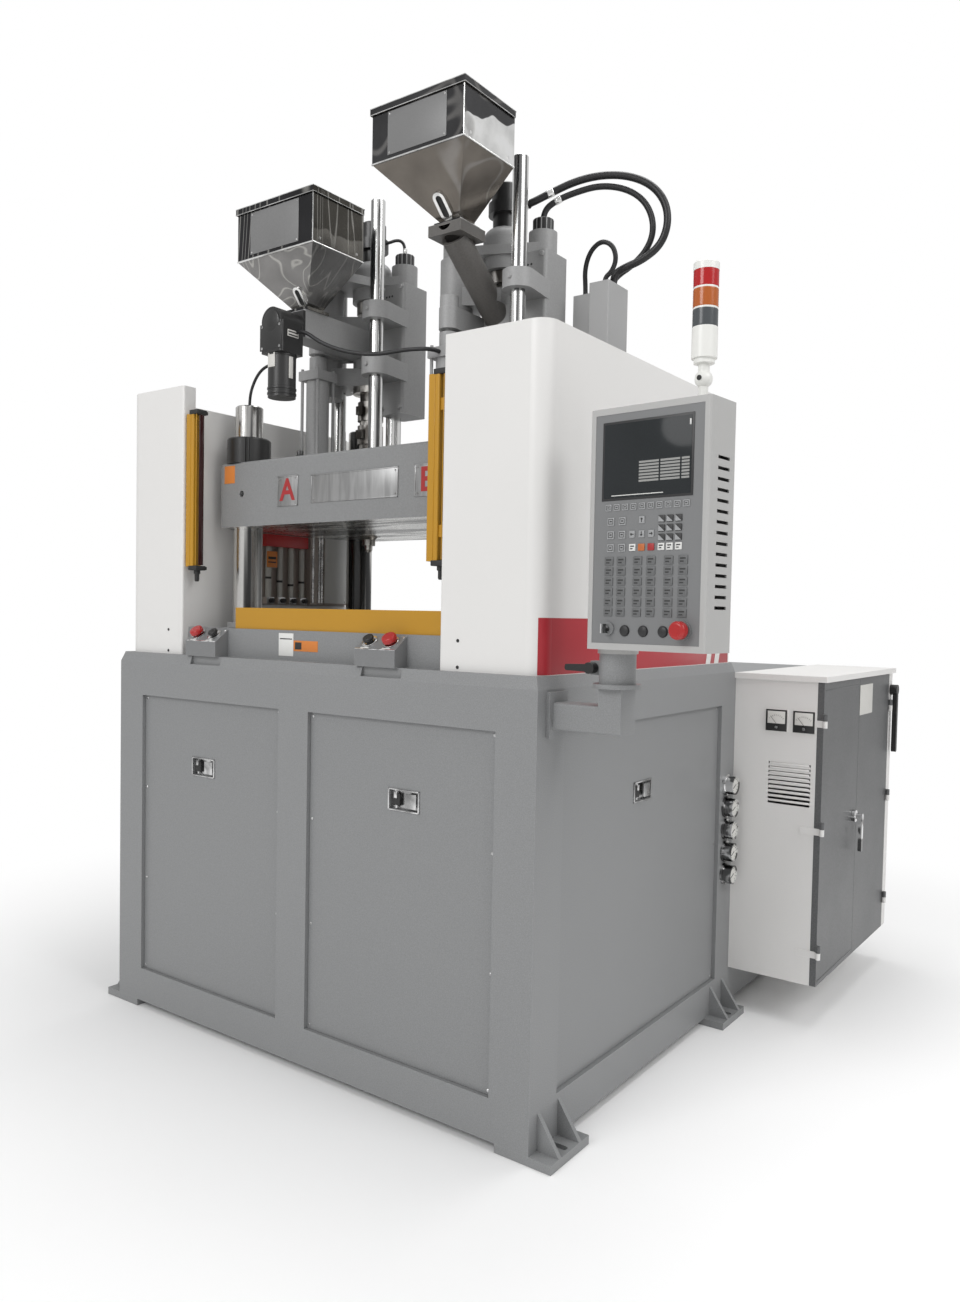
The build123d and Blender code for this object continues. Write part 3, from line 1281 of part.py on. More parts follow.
# hoses of the right unit, over to the terminal box and back
make_cord([(322, 0, 2498), (352, 0, 2498), (404, 34, 2530), (478, 66, 2562), (554, 96, 2572),
           (628, 124, 2560), (688, 146, 2526), (724, 158, 2472), (730, 162, 2410), (708, 158, 2354),
           (660, 142, 2318), (608, 126, 2300), (578, 120, 2284), (578, 120, 2252)], 22, "hose_b_outer")
make_cord([(390, 25, 2451), (390, 25, 2480), (426, 40, 2508), (480, 64, 2528), (540, 92, 2542),
           (604, 118, 2530), (654, 138, 2498), (682, 150, 2450), (686, 158, 2396), (660, 164, 2350),
           (614, 164, 2316), (572, 160, 2296), (556, 158, 2278), (556, 158, 2252)], 18, "hose_b_inner")
make_cord([(490, 110, 2228), (490, 110, 2258), (496, 92, 2308), (524, 74, 2350), (566, 66, 2370),
           (600, 72, 2352), (608, 82, 2314), (590, 88, 2282), (566, 90, 2270), (566, 90, 2252)],
          14, "hose_b_loop")
# loop over the left ram head, and the cables round the left geared motor
make_cord([(-218, 0, 2498), (-196, 0, 2498), (-174, 8, 2504), (-157, 18, 2500), (-150, 25, 2480),
           (-150, 25, 2451)], 10, "hose_a_loop")
make_cord([(-312, -398, 2030), (-336, -398, 2030), (-372, -398, 2014), (-402, -396, 1982),
           (-421, -393, 1944), (-421, -393, 1912)], 9, "cable_a_motor")
make_cord([(-224, -380, 2120), (-196, -380, 2120), (-140, -362, 2078), (-60, -336, 2046),
           (30, -308, 2032), (116, -284, 2040), (176, -262, 2040), (198, -246, 2038),
           (198, -220, 2038)], 12, "cable_a_droop")
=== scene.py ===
import math

import bmesh
import bpy
from mathutils import Matrix, Vector


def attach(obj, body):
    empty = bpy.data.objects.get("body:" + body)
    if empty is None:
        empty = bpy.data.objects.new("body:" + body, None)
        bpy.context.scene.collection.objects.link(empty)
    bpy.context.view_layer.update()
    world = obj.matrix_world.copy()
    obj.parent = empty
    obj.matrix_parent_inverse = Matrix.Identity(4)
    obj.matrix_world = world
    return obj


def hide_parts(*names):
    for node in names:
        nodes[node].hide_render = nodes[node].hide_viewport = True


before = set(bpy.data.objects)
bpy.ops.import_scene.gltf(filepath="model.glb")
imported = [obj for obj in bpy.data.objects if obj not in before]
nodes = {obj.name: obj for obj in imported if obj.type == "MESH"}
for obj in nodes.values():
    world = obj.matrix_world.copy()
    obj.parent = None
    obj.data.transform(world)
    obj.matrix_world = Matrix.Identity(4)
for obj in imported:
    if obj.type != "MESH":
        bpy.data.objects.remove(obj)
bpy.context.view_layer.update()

# Camera. It stands off the machine's front right corner at chest height, turned to the
# left, so that the front, the right side and the undersides of the hoppers show.
yaw, pitch, roll = (math.radians(angle) for angle in (36.0978, -2.1326, 1.0816))
ahead = Vector((-math.sin(yaw) * math.cos(pitch), math.cos(yaw) * math.cos(pitch), math.sin(pitch)))
level = Vector((math.cos(yaw), math.sin(yaw), 0))
upward = level.cross(ahead)
camera_right = level * math.cos(roll) + upward * math.sin(roll)
camera_up = upward * math.cos(roll) - level * math.sin(roll)
camera_data = bpy.data.cameras.new("camera")
camera_data.lens = 27.23
camera_data.sensor_width = 36
camera = bpy.data.objects.new("camera", camera_data)
bpy.context.scene.collection.objects.link(camera)
axes = Matrix((camera_right, camera_up, -ahead)).transposed().to_4x4()
camera.matrix_world = Matrix.Translation((2.010, -2.476, 1.2775)) @ axes
bpy.context.scene.camera = camera
bpy.context.scene.view_settings.view_transform = "Standard"

# Studio: a pale floor that fades to white away from the machine, a white surround, and
# three soft lamps. The floor keeps the machine's shadow close to the base.
floor_radius = 14
floor_middle = (0.2, 0.4, -0.0005)
floor_grey = (0.93, 0.93, 0.93, 1)
shadow_fades = (1.5, 2.9)
room_light = 0.57


def new_material(name):
    """A node material with its shader, ready for links."""
    material = bpy.data.materials.new(name)
    material.use_nodes = True
    return material, material.node_tree.nodes["Principled BSDF"]


def wired(tree, kind, values, **settings):
    """A shader node with its settings, and its inputs set or linked by name or number."""
    node = tree.nodes.new(f"ShaderNode{kind}")
    for setting, value in settings.items():
        setattr(node, setting, value)
    for label, value in values.items():
        if isinstance(value, bpy.types.NodeSocket):
            tree.links.new(value, node.inputs[label])
        else:
            node.inputs[label].default_value = value
    return node


def maths(tree, operation, *terms):
    """A value worked out from its terms."""
    return wired(tree, "Math", dict(enumerate(terms)), operation=operation).outputs["Value"]


def vectors(tree, operation, terms):
    """A vector worked out from its terms."""
    return wired(tree, "VectorMath", terms, operation=operation).outputs["Vector"]


def noise(tree, where, values):
    """Soft noise over a place."""
    return wired(tree, "TexNoise", {"Vector": where, **values}).outputs["Fac"]


def mixed_colour(tree, share, first, second):
    """A colour between two, by a share."""
    return wired(tree, "Mix", {"Factor": share, "A": first, "B": second}, data_type="RGBA").outputs["Result"]


def soft_step(tree, value, low, high):
    """A soft step of a value between two levels."""
    step = wired(tree, "MapRange", {"Value": value, "From Min": low, "From Max": high},
                 interpolation_type="SMOOTHSTEP")
    return step.outputs["Result"]


def straight_to_eye(tree):
    """One where a ray comes from the camera, also through glass, and nought elsewhere."""
    ray = wired(tree, "LightPath", {}).outputs
    return maths(tree, "MAXIMUM", ray["Is Camera Ray"], ray["Is Transmission Ray"])


floor_mesh = bmesh.new()
bmesh.ops.create_circle(floor_mesh, cap_ends=True, segments=96, radius=floor_radius)
floor_data = bpy.data.meshes.new("floor")
floor_mesh.to_mesh(floor_data)
floor = bpy.data.objects.new("floor", floor_data)
floor.location = floor_middle
bpy.context.scene.collection.objects.link(floor)
floor_paint, floor_shader = new_material("floor_paint")
floor_shader.inputs["Base Color"].default_value = floor_grey
floor_shader.inputs["Roughness"].default_value = 0.9
floor_tree = floor_paint.node_tree
floor_place = wired(floor_tree, "TexCoord", {}).outputs["Object"]
floor_reach = wired(floor_tree, "VectorMath", {0: floor_place}, operation="LENGTH").outputs["Value"]
glow_share = maths(floor_tree, "MULTIPLY", soft_step(floor_tree, floor_reach, *shadow_fades),
                   straight_to_eye(floor_tree))
floor_glow = wired(floor_tree, "Emission", {}).outputs["Emission"]
floor_blend = wired(floor_tree, "MixShader", {"Fac": glow_share, 1: floor_shader.outputs["BSDF"],
                                              2: floor_glow})
floor_tree.links.new(floor_blend.outputs["Shader"], floor_tree.nodes["Material Output"].inputs["Surface"])
floor_data.materials.append(floor_paint)

world = bpy.data.worlds.new("studio")
world.use_nodes = True
bpy.context.scene.world = world
surround = world.node_tree.nodes["Background"]
surround.inputs["Color"].default_value = (1, 1, 1, 1)
room = world.node_tree
strength = wired(room, "MapRange", {"Value": straight_to_eye(room), "To Min": room_light, "To Max": 1.0})
room.links.new(strength.outputs["Result"], surround.inputs["Strength"])

for lamp_name, place_m, aim, size, power in (("key", (-0.4, -5.6, 4.4), (0, 0, 1.2), 3.0, 138),
                                             ("side", (4.8, -0.6, 4.6), (0.4, 0, 1.4), 3.0, 88),
                                             ("top", (0.5, 1.0, 5.6), (0, 0, 1.0), 3.4, 120)):
    lamp_data = bpy.data.lights.new(lamp_name, "AREA")
    lamp_data.shape = "DISK"
    lamp_data.size = size
    lamp_data.energy = power
    lamp = bpy.data.objects.new(lamp_name, lamp_data)
    lamp.location = place_m
    lamp.rotation_euler = (Vector(aim) - Vector(place_m)).to_track_quat("-Z", "Y").to_euler()
    bpy.context.scene.collection.objects.link(lamp)

# Machine base: welded frame of steel plate with a textured grey paint, and the housing
# behind it with the same finish. Edges are painted a little lighter, as a painted highlight.


def named_group(name, inputs, outputs):
    """An empty shader node group with its sockets; inputs are (name, kind, value)."""
    group = bpy.data.node_groups.new(name, "ShaderNodeTree")
    for label, kind, value in inputs:
        socket = group.interface.new_socket(label, in_out="INPUT", socket_type=f"NodeSocket{kind}")
        socket.default_value = value
    for label, kind in outputs:
        group.interface.new_socket(label, in_out="OUTPUT", socket_type=f"NodeSocket{kind}")
    return group, group.nodes.new("NodeGroupInput").outputs, group.nodes.new("NodeGroupOutput").inputs


def sprayed_paint_group():
    """Sprayed paint: fine orange peel, a cloudy tone and a painted highlight on the edges."""
    group, given, result = named_group(
        "sprayed_paint",
        (("Colour", "Color", (0.5, 0.5, 0.5, 1)), ("Grain", "Float", 0.15), ("Grain Scale", "Float", 450.0),
         ("Cloud", "Float", 0.06), ("Edge Highlight", "Float", 0.12), ("Roughness", "Float", 0.5)),
        (("Colour", "Color"), ("Roughness", "Float"), ("Height", "Float")))
    where = wired(group, "TexCoord", {}).outputs["Object"]
    fine = noise(group, where, {"Scale": given["Grain Scale"], "Detail": 2.0})
    cloud = noise(group, where, {"Scale": 2.6, "Detail": 5.0, "Roughness": 0.6})
    # tone: cloud and grain round a middle of one
    cloud_swing = maths(group, "SUBTRACT", cloud, 0.5)
    cloud_part = maths(group, "MULTIPLY_ADD", cloud_swing, given["Cloud"], 1.0)
    tone = maths(group, "MULTIPLY_ADD", maths(group, "SUBTRACT", fine, 0.5), given["Grain"], cloud_part)
    # painted edge highlight: lighter where the rounded normal leaves the flat one
    rounded = wired(group, "Bevel", {"Radius": 0.003}, samples=4).outputs["Normal"]
    flat = wired(group, "NewGeometry", {}).outputs["Normal"]
    apart = wired(group, "VectorMath", {0: rounded, 1: flat}, operation="DISTANCE").outputs["Value"]
    edge_highlight = maths(group, "MULTIPLY_ADD", apart, given["Edge Highlight"], tone)
    shade = vectors(group, "SCALE", {0: given["Colour"], "Scale": edge_highlight})
    gloss = maths(group, "MULTIPLY_ADD", cloud_swing, 0.25, given["Roughness"])
    for label, value in (("Colour", shade), ("Roughness", gloss), ("Height", fine)):
        group.links.new(value, result[label])
    return group


sprayed_paint = sprayed_paint_group()


def group_node(material, group, values):
    """Places a node group in a material and sets its inputs."""
    node = material.node_tree.nodes.new("ShaderNodeGroup")
    node.node_tree = group
    for label, value in values.items():
        node.inputs[label].default_value = (*value, 1) if isinstance(value, tuple) else value
    return node


def effect_into_shader(material, shader, effect, relief):
    """Links an effect's colour, roughness and height, the last as a soft relief, to the shader."""
    tree = material.node_tree
    bump = wired(tree, "Bump", {"Strength": relief, "Distance": 0.001, "Height": effect.outputs["Height"]})
    tree.links.new(effect.outputs["Colour"], shader.inputs["Base Color"])
    tree.links.new(effect.outputs["Roughness"], shader.inputs["Roughness"])
    tree.links.new(bump.outputs["Normal"], shader.inputs["Normal"])


# The edge setting gives the strength of the painted highlight on the edges.
def painted(name, colour, roughness=0.45, grain=0.1, grain_scale=450.0, cloud=0.05, edge_highlight=0.1, relief=0.06):
    """Painted steel or plastic."""
    material, shader = new_material(name)
    spray = group_node(material, sprayed_paint, {"Colour": colour, "Grain": grain, "Grain Scale": grain_scale,
                                                 "Cloud": cloud, "Edge Highlight": edge_highlight, "Roughness": roughness})
    effect_into_shader(material, shader, spray, relief)
    return material


def coat(names, material):
    """Gives CAD nodes their material."""
    for name in names:
        nodes[name].data.materials.clear()
        nodes[name].data.materials.append(material)


base_paint = painted("base_paint", (0.240, 0.244, 0.247), 0.42, grain=0.55, grain_scale=420.0, relief=0.18)
panel_paint = painted("panel_paint", (0.232, 0.236, 0.239), 0.40, grain=0.55, grain_scale=420.0, relief=0.18)
coat(("base_frame", "base_feet", "rear_housing", "hmi_arm"), base_paint)
coat(("base_panels",), panel_paint)

# Upright covers left and right of the mould space: bent sheet with a satin white coat.
cover_paint = painted("cover_paint", (0.73, 0.722, 0.708), 0.34, grain=0.03, grain_scale=900.0, cloud=0.03,
                      edge_highlight=0.03, relief=0.02)
coat(("side_covers",), cover_paint)

# Castings of the clamp and of both injection units, in the same grey with more tone and
# some oil dust.
# Its edges carry a painted highlight.
cast_paint = painted("cast_paint", (0.315, 0.315, 0.315), 0.45, grain=0.35, grain_scale=260.0, cloud=0.35,
                     edge_highlight=0.25, relief=0.15)
coat(("carriage_a", "carriage_b", "ram_head_a", "ram_head_b", "feeder_a", "lower_crosshead",
      "lift_cylinders", "clamp_cylinder", "fixed_platen"), cast_paint)

# Ground and polished steel: guide rods, rams, tie bars, barrels and screws. Long faint
# streaks of painted reflection run along the rods, for the room that a ground and hard-chromed bar shows.


def bright_steel_group():
    """Polished steel: painted reflections as bright and dark bands stretched along one axis, with fine
    scratches.
    """
    group, given, result = named_group(
        "bright_steel",
        (("Light", "Color", (0.8, 0.8, 0.8, 1)), ("Dark", "Color", (0.1, 0.1, 0.1, 1)),
         ("Stretch", "Vector", (26, 26, 0.6)), ("Contrast", "Float", 0.5), ("Bend", "Float", 0.4),
         ("Roughness", "Float", 0.16)),
        (("Colour", "Color"), ("Roughness", "Float"), ("Height", "Float")))
    where = wired(group, "TexCoord", {}).outputs["Object"]
    stretched = vectors(group, "MULTIPLY", {0: where, 1: given["Stretch"]})
    reflection_bands = noise(group, stretched, {"Scale": 1.0, "Detail": 2.0, "Distortion": given["Bend"]})
    low = maths(group, "MULTIPLY_ADD", given["Contrast"], 0.2, 0.28)
    high = maths(group, "MULTIPLY_ADD", given["Contrast"], -0.2, 0.72)
    tint = mixed_colour(group, soft_step(group, reflection_bands, low, high), given["Dark"], given["Light"])
    scratches = noise(group, where, {"Scale": 60.0, "Detail": 4.0})
    gloss = maths(group, "MULTIPLY_ADD", scratches, 0.12, given["Roughness"])
    for label, value in (("Colour", tint), ("Roughness", gloss), ("Height", scratches)):
        group.links.new(value, result[label])
    return group


bright_steel = bright_steel_group()


def steel(name, light, dark, stretch=(26.0, 26.0, 0.6), contrast=0.6, bend=0.4, roughness=0.14, relief=0.01):
    """Bare metal with painted reflections as bright and dark bands."""
    material, shader = new_material(name)
    shader.inputs["Metallic"].default_value = 1.0
    reflection_bands = group_node(material, bright_steel, {"Light": light, "Dark": dark, "Contrast": contrast,
                                                "Bend": bend, "Roughness": roughness})
    reflection_bands.inputs["Stretch"].default_value = stretch
    effect_into_shader(material, shader, reflection_bands, relief)
    return material


rod_steel = steel("rod_steel", (0.96, 0.96, 0.95), (0.26, 0.26, 0.26), stretch=(46.0, 46.0, 0.5),
                  contrast=0.8)
bar_steel = steel("bar_steel", (0.75, 0.74, 0.72), (0.06, 0.06, 0.06), stretch=(24.0, 24.0, 0.5),
                  contrast=0.8)
barrel_steel = steel("barrel_steel", (0.62, 0.60, 0.57), (0.12, 0.11, 0.10), stretch=(30.0, 30.0, 14.0),
                     roughness=0.28, contrast=0.5)
coat(("guide_rods",), rod_steel)
coat(("tie_bars",), bar_steel)
coat(("barrel_a", "barrel_b", "screw_a", "screw_b", "feed_auger_a", "rotary_table"), barrel_steel)

# Tie bar nuts, motors and the geared motor: steel and cast parts in satin black.
# Its edges carry a strong painted highlight.
black_paint = painted("black_paint", (0.022, 0.022, 0.022), 0.32, grain=0.3, grain_scale=300.0, cloud=0.4,
                      edge_highlight=0.9, relief=0.1)
coat(("tie_nuts", "gear_motor_a", "screw_motor_a", "screw_motor_b"), black_paint)

# Chute of the right unit: a cast tube with its flange, brown-grey from heat and dust.
# Its edges carry a painted highlight.
chute_iron = painted("chute_iron", (0.105, 0.100, 0.094), 0.38, grain=0.5, grain_scale=200.0, cloud=0.8,
                     edge_highlight=0.6, relief=0.3)
coat(("chute_b",), chute_iron)

# Light curtains and guard bar: mustard yellow profiles.
yellow_paint = painted("yellow_paint", (0.470, 0.240, 0.014), 0.36, grain=0.06, grain_scale=700.0, cloud=0.08,
                       edge_highlight=0.1, relief=0.02)
coat(("light_curtains", "guard_bar"), yellow_paint)

# Button boxes, panel box and its front plate.
box_paint = painted("box_paint", (0.19, 0.193, 0.196), 0.4, grain=0.3, edge_highlight=0.3, relief=0.08)
hmi_paint = painted("hmi_paint", (0.43, 0.428, 0.42), 0.38, grain=0.06, edge_highlight=0.05, relief=0.03)
plate_paint = painted("plate_paint", (0.190, 0.193, 0.196), 0.42, grain=0.08, cloud=0.03, relief=0.03)
coat(("button_boxes",), box_paint)
coat(("hmi_box",), hmi_paint)
coat(("hmi_panel",), plate_paint)

# Control cabinet: folded steel in warm light grey, with speckled dark grey doors.
cabinet_paint = painted("cabinet_paint", (0.76, 0.75, 0.735), 0.42, grain=0.12, cloud=0.05, relief=0.05)
door_paint = painted("door_paint", (0.105, 0.107, 0.109), 0.4, grain=0.9, grain_scale=240.0, cloud=0.1,
                     edge_highlight=0.2, relief=0.2)
coat(("cabinet_body",), cabinet_paint)
coat(("cabinet_door_front", "cabinet_door_rear"), door_paint)
terminal_paint = painted("terminal_paint", (0.37, 0.37, 0.37), 0.42, grain=0.1, cloud=0.08, relief=0.04)
coat(("terminal_box",), terminal_paint)

# Small bright parts: door handle, key and gauge cases; and small plastic parts.
chrome = steel("chrome", (0.9, 0.9, 0.9), (0.16, 0.16, 0.16), stretch=(30.0, 30.0, 30.0), contrast=0.8,
               roughness=0.08)
coat(("door_handle", "hmi_key", "gauges"), chrome)
# Black plastic carries a strong painted highlight on its edges.
black_plastic = painted("black_plastic", (0.014, 0.014, 0.014), 0.4, grain=0.2, edge_highlight=0.8)
red_plastic = painted("red_plastic", (0.40, 0.018, 0.018), 0.28, grain=0.05, edge_highlight=0.15, relief=0.02)
coat(("main_switch", "clamp_lever", "start_button_left", "start_button_right"), black_plastic)
coat(("hmi_estop", "stop_button_left", "stop_button_right"), red_plastic)
coat(("tower_light",), painted("tower_plastic", (0.78, 0.78, 0.75), 0.3, grain=0.03, edge_highlight=0.05, relief=0.02))
coat(("flow_meters",), painted("meter_plastic", (0.35, 0.30, 0.27), 0.3, grain=0.1, cloud=0.2, relief=0.04))

# Hoses and cables. The pressure hoses have a rubber cover with the faint cloth print of
# the braid under it; each follows one smooth line from gland to gland.
hose_rubber = painted("hose_rubber", (0.012, 0.012, 0.013), 0.42, grain=0.8, grain_scale=520.0, cloud=0.3,
                      edge_highlight=0.0, relief=0.3)


def cord_line(name, points, diameter, body, material):
    """A cord as a NURBS line through its route."""
    data = bpy.data.curves.new(name, "CURVE")
    data.dimensions = "3D"
    data.bevel_depth = diameter / 2
    data.bevel_resolution = 5
    data.resolution_u = 10
    data.use_fill_caps = True
    line = data.splines.new("NURBS")
    line.points.add(len(points) - 1)
    for spot, point in zip(line.points, points):
        spot.co = (*point, 1)
    line.order_u = 3
    line.use_endpoint_u = True
    data.materials.append(material)
    piece = bpy.data.objects.new(name, data)
    bpy.context.scene.collection.objects.link(piece)
    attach(piece, body)
    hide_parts(name.replace("_line", ""))
    return piece


hose_routes = {
    "hose_b_outer": (0.022, "ram_b", 0.785, (
        (0.322, 0, 2.498), (0.352, 0, 2.498), (0.404, 0.034, 2.530), (0.478, 0.066, 2.562),
        (0.554, 0.096, 2.572), (0.628, 0.124, 2.560), (0.688, 0.146, 2.526), (0.724, 0.158, 2.472),
        (0.730, 0.162, 2.410), (0.708, 0.158, 2.354), (0.660, 0.142, 2.318), (0.608, 0.126, 2.300),
        (0.578, 0.120, 2.284), (0.578, 0.120, 2.252))),
    "hose_b_inner": (0.018, "ram_b", 0.650, (
        (0.390, 0.025, 2.451), (0.390, 0.025, 2.480), (0.426, 0.040, 2.508), (0.480, 0.064, 2.528),
        (0.540, 0.092, 2.542), (0.604, 0.118, 2.530), (0.654, 0.138, 2.498), (0.682, 0.150, 2.450),
        (0.686, 0.158, 2.396), (0.660, 0.164, 2.350), (0.614, 0.164, 2.316), (0.572, 0.160, 2.296),
        (0.556, 0.158, 2.278), (0.556, 0.158, 2.252))),
    "hose_b_loop": (0.014, "clamp", 0.334, (
        (0.490, 0.110, 2.228), (0.490, 0.110, 2.258), (0.496, 0.092, 2.308), (0.524, 0.074, 2.350),
        (0.566, 0.066, 2.370), (0.600, 0.072, 2.352), (0.608, 0.082, 2.314), (0.590, 0.088, 2.282),
        (0.566, 0.090, 2.270), (0.566, 0.090, 2.252))),
    "hose_a_loop": (0.010, "ram_a", 0.115, (
        (-0.218, 0, 2.498), (-0.196, 0, 2.498), (-0.174, 0.008, 2.504), (-0.157, 0.018, 2.500),
        (-0.150, 0.025, 2.480), (-0.150, 0.025, 2.451))),
    "cable_a_motor": (0.009, "carriage_a", 0.180, (
        (-0.312, -0.398, 2.030), (-0.336, -0.398, 2.030), (-0.372, -0.398, 2.014), (-0.402, -0.396, 1.982),
        (-0.421, -0.393, 1.944), (-0.421, -0.393, 1.912))),
    "cable_a_droop": (0.012, "carriage_a", 0.488, (
        (-0.224, -0.380, 2.120), (-0.196, -0.380, 2.120), (-0.140, -0.362, 2.078), (-0.060, -0.336, 2.046),
        (0.030, -0.308, 2.032), (0.116, -0.284, 2.040), (0.176, -0.262, 2.040), (0.198, -0.246, 2.038),
        (0.198, -0.220, 2.038))),
}
for hose, (diameter, body, length, route) in hose_routes.items():
    cord_line(f"{hose}_line", route, diameter, body, hose_rubber)

# Recessed pulls of the base panels: pressed stainless cups with a rim and a paddle latch,
# and the small countersunk screws that hold the panels.


def rounded_block(low, high, bevel=0.001, finish=0):
    """A block with rounded edges."""
    shape = bmesh.new()
    bmesh.ops.create_cube(shape, size=1)
    size = [max(b - a, 1e-5) for a, b in zip(low, high)]
    middle = [(a + b) / 2 for a, b in zip(low, high)]
    shape.transform(Matrix.Translation(middle) @ Matrix.Diagonal((*size, 1)))
    if bevel:
        bmesh.ops.bevel(shape, geom=shape.edges, offset=min(bevel, min(size) * 0.45), segments=2,
                        affect="EDGES", profile=0.5)
    for face in shape.faces:
        face.material_index = finish
    return shape


def turned(profile, foot, along, finish=0, steps=32):
    """A turned shape: (radius, distance) pairs spun round the line from foot along a direction."""
    shape = bmesh.new()
    rings = []
    for radius, distance in profile:
        if radius < 1e-6:
            rings.append([shape.verts.new((0, 0, distance))])
            continue
        rings.append([shape.verts.new((radius * math.cos(turn), radius * math.sin(turn), distance))
                      for turn in (2 * math.pi * step / steps for step in range(steps))])
    for lower, upper in zip(rings, rings[1:]):
        for step in range(steps):
            after = (step + 1) % steps
            corners = [lower[step % len(lower)], lower[after % len(lower)],
                       upper[after % len(upper)], upper[step % len(upper)]]
            distinct = list(dict.fromkeys(corners))
            if len(distinct) > 2:
                shape.faces.new(distinct)
    bmesh.ops.recalc_face_normals(shape, faces=shape.faces)
    for face in shape.faces:
        face.material_index = finish
    shape.transform(Matrix.Translation(foot) @ Vector(along).to_track_quat("Z", "Y").to_matrix().to_4x4())
    return shape


def tube(points, radius, finish=0, steps=10):
    """A round bar or pipe that follows points, with capped ends."""
    shape = bmesh.new()
    spots = [Vector(point) for point in points]
    ahead_of = [(after - before).normalized() for before, after in zip(spots, spots[1:])]
    tangents = [ahead_of[0]] + [(a + b).normalized() for a, b in zip(ahead_of, ahead_of[1:])] + [ahead_of[-1]]
    side = tangents[0].orthogonal().normalized()
    rings = []
    for spot, tangent in zip(spots, tangents):
        side = (side - tangent * side.dot(tangent)).normalized()
        across = tangent.cross(side)
        rings.append([shape.verts.new(spot + radius * (side * math.cos(turn) + across * math.sin(turn)))
                      for turn in (2 * math.pi * step / steps for step in range(steps))])
    for lower, upper in zip(rings, rings[1:]):
        for step in range(steps):
            shape.faces.new((lower[step], lower[(step + 1) % steps], upper[(step + 1) % steps], upper[step]))
    shape.faces.new(list(reversed(rings[0])))
    shape.faces.new(rings[-1])
    for face in shape.faces:
        face.material_index = finish
    return shape


def build(name, shapes, finishes, body, place=None):
    """Joins shapes into one piece with its finishes, which rides on a body."""
    data = bpy.data.meshes.new(name)
    whole = bmesh.new()
    for shape in shapes:
        part = bpy.data.meshes.new("part")
        shape.to_mesh(part)
        whole.from_mesh(part)
        bpy.data.meshes.remove(part)
        shape.free()
    if place is not None:
        whole.transform(place)
    whole.to_mesh(data)
    whole.free()
    for finish in finishes:
        data.materials.append(finish)
    data.shade_smooth()
    data.set_sharp_from_angle(angle=math.radians(32))
    piece = bpy.data.objects.new(name, data)
    bpy.context.scene.collection.objects.link(piece)
    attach(piece, body)
    return piece


def screw_head(foot, along, radius=0.004, finish=0):
    """A domed screw head with a sunk cross."""
    return turned(((radius, 0), (radius, 0.0008), (radius * 0.7, 0.0018), (radius * 0.3, 0.0018),
                   (radius * 0.25, 0.0008), (0, 0.0008)), foot, along, finish, steps=14)


def screw_heads(xs, ys, zs, along, radius=0.004, finish=0):
    """Screw heads at every crossing of the given places."""
    return [screw_head((x, y, z), along, radius, finish) for x in xs for y in ys for z in zs]


panel_front = -0.578
panel_side = 0.788
to_front, to_right, up = (0, -1, 0), (1, 0, 0), (0, 0, 1)


def pull_cup():
    """One cup: rim, sunk floor, painted shade in its pocket, hinge bar and paddle, drawn facing -Y round its
    middle.
    """
    outer_x, outer_z = 0.052, 0.0285
    inner_x, inner_z = 0.0475, 0.0245
    proud, sunk = -0.0035, 0.0095
    cup = [rounded_block((-outer_x, proud, low), (outer_x, 0.0, high), 0.0012)
           for low, high in ((inner_z, outer_z), (-outer_z, -inner_z))]
    cup += [rounded_block((low, proud, -outer_z), (high, 0.0, outer_z), 0.0012)
            for low, high in ((-outer_x, -inner_x), (inner_x, outer_x))]
    cup.append(rounded_block((-inner_x, sunk, -inner_z), (inner_x, sunk + 0.001, inner_z), 0.0))
    paddle = rounded_block((0.006, -0.003, -0.019), (0.042, 0.0, 0.019), 0.0015, 0)
    # the dark block in the pocket behind the paddle is painted shade
    pocket_shade = rounded_block((-0.040, 0.0, -0.016), (-0.014, sunk, 0.016), 0.002, 1)
    hinge_bar = turned(((0.0001, 0), (0.004, 0), (0.004, 0.044), (0.0001, 0.044)), (-0.027, 0.004, -0.022),
                       up, 0, steps=12)
    latch = rounded_block((-0.032, -0.003, 0.004), (-0.022, 0.004, 0.019), 0.001, 0)
    return cup + [paddle, pocket_shade, hinge_bar, latch]


stainless = steel("stainless", (0.72, 0.72, 0.72), (0.34, 0.34, 0.34), stretch=(18.0, 18.0, 18.0),
                  contrast=0.5, roughness=0.22)
# Near-black for black parts and prints, also used as painted shade in pull pockets and tapped holes.
black_and_painted_shade = painted("black_and_painted_shade", (0.02, 0.02, 0.02), 0.6, grain=0.2, edge_highlight=0.0)
pull_level = 0.801
for label, x, y, turn in (("left", -0.396, panel_front, 0), ("right", 0.396, panel_front, 0),
                          ("side", panel_side, -0.030, 90), ("far", -panel_side, -0.030, -90)):
    build(f"pull_{label}", pull_cup(), (stainless, black_and_painted_shade), "base",
          Matrix.Translation((x, y, pull_level)) @ Matrix.Rotation(math.radians(turn), 4, "Z"))
panel_screws = []
for side in (-1, 1):
    panel_screws += screw_heads((side * 0.068, side * 0.674), (panel_front,), (0.137, 0.42, 0.71, 0.992),
                                to_front)
    panel_screws += screw_heads((side * panel_side,), (-0.460, 0.480), (0.137, 0.56, 0.992), (side, 0, 0))
build("panel_screws", panel_screws, (stainless,), "base")

# Moving platen plates: engraved aluminium plates for the two stations and a long bare one
# between them, pinned at their corners, and the eye bolt on the platen's edge.
plate_metal = steel("plate_metal", (0.47, 0.47, 0.47), (0.36, 0.36, 0.36), stretch=(60.0, 60.0, 8.0),
                    contrast=0.3, roughness=0.34)
sign_red = painted("sign_red", (0.36, 0.022, 0.024), 0.4, grain=0.05, edge_highlight=0.0, relief=0.0)
platen_face = -0.456


